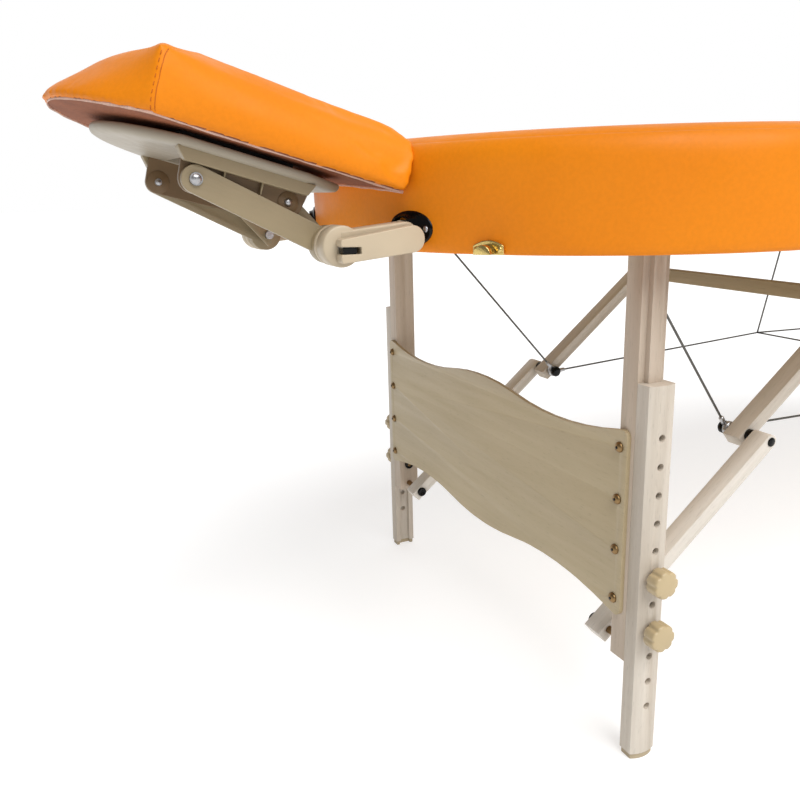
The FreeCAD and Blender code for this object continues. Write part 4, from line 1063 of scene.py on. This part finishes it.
def smooth_shading():
    """A node group for a modifier that shades faces smooth and leaves the mesh as it is."""
    group = bpy.data.node_groups.new("smooth_shading", "GeometryNodeTree")
    for way in ("INPUT", "OUTPUT"):
        group.interface.new_socket("Geometry", in_out=way, socket_type="NodeSocketGeometry")
    start = group.nodes.new("NodeGroupInput")
    smooth = group.nodes.new("GeometryNodeSetShadeSmooth")
    end = group.nodes.new("NodeGroupOutput")
    group.links.new(start.outputs["Geometry"], smooth.inputs["Geometry"])
    group.links.new(smooth.outputs["Geometry"], end.inputs["Geometry"])
    return group


SMOOTH_SHADING = smooth_shading()


def soften(node, width):
    """Breaks the sharp edges of a CAD node by modifiers."""
    node.modifiers.new("smooth", "NODES").node_group = SMOOTH_SHADING
    weld = node.modifiers.new("weld", "WELD")
    weld.merge_threshold = 0.00002
    flat = node.modifiers.new("flat", "DECIMATE")
    flat.decimate_type = "DISSOLVE"
    flat.angle_limit = math.radians(2)
    bevel = node.modifiers.new("bevel", "BEVEL")
    bevel.width = width * MM
    bevel.segments = 2
    bevel.limit_method = "ANGLE"
    bevel.angle_limit = math.radians(40)
    bevel.harden_normals = True


def finish_node(name, material, width):
    node = frame["nodes"][name]
    node.data.materials.clear()
    node.data.materials.append(material)
    if width:
        soften(node, width)


def finish_frame():
    for name, finish in WHOLE_FINISHES.items():
        finish_node(name, *finish)
    for end in ENDS:
        for name, finish in END_FINISHES.items():
            finish_node(f"{end}_{name}", *finish)
        upper_wood = arm_wood(f"{end}_upper_brace_beech", f"{end}_upper_braces", BEECH)
        # The lower braces take the lighter beech, which is painted light
        lower_wood = arm_wood(f"{end}_lower_brace_lit_beech", f"{end}_left_lower_brace", LIT_BEECH)
        finish_node(f"{end}_upper_braces", upper_wood, BRACE_EDGE)
        for side in SIDES:
            finish_node(f"{end}_{side}_lower_brace", lower_wood, BRACE_EDGE)
            for name, finish in LEG_FINISHES.items():
                finish_node(f"{end}_{side}_{name}", *finish)


finish_frame()


# Floor, backdrop and light

# The backdrop is bright to the right of +Y; its stops are cosines of the angle from there
BACKDROP_TURN, BACKDROP_STOPS = math.radians(25), ((0.4, 0.26), (0.62, 1.0))
SUN_WAY = Vector((-0.12, 0.62, -0.77))


def make_floor():
    bpy.ops.mesh.primitive_plane_add(size=60, location=(0, 0, 0))
    floor = bpy.context.object
    floor.name = "floor"
    shader = Shader("pale_floor", roughness=0.95)
    shader.set(Emission_Strength=0.6, Emission_Color=(1, 1, 1, 1))
    shader.colour(shader.patches(0.5, 0.52, size=0.5, detail=2.0))
    floor.data.materials.append(shader.material)


def make_backdrop():
    world = bpy.data.worlds.new("studio")
    world.use_nodes = True
    tree = world.node_tree
    way = tree.nodes.new("ShaderNodeTexCoord").outputs["Generated"]
    facing = tree.nodes.new("ShaderNodeVectorMath")
    facing.operation = "DOT_PRODUCT"
    facing.inputs[1].default_value = (math.sin(BACKDROP_TURN), math.cos(BACKDROP_TURN), 0)
    ramp = tree.nodes.new("ShaderNodeValToRGB")
    set_stops(ramp, *BACKDROP_STOPS)
    tree.links.new(way, facing.inputs[0])
    tree.links.new(facing.outputs["Value"], ramp.inputs["Fac"])
    tree.links.new(ramp.outputs["Color"], tree.nodes["Background"].inputs["Color"])
    bpy.context.scene.world = world


def make_light():
    sun = bpy.data.lights.new("sun", "SUN")
    sun.energy = 3.2
    sun.angle = math.radians(50)
    light = bpy.data.objects.new("sun", sun)
    light.matrix_world = SUN_WAY.to_track_quat("-Z", "Y").to_matrix().to_4x4()
    bpy.context.scene.collection.objects.link(light)
    bpy.context.scene.view_settings.view_transform = "Standard"


make_floor()
make_backdrop()
make_light()
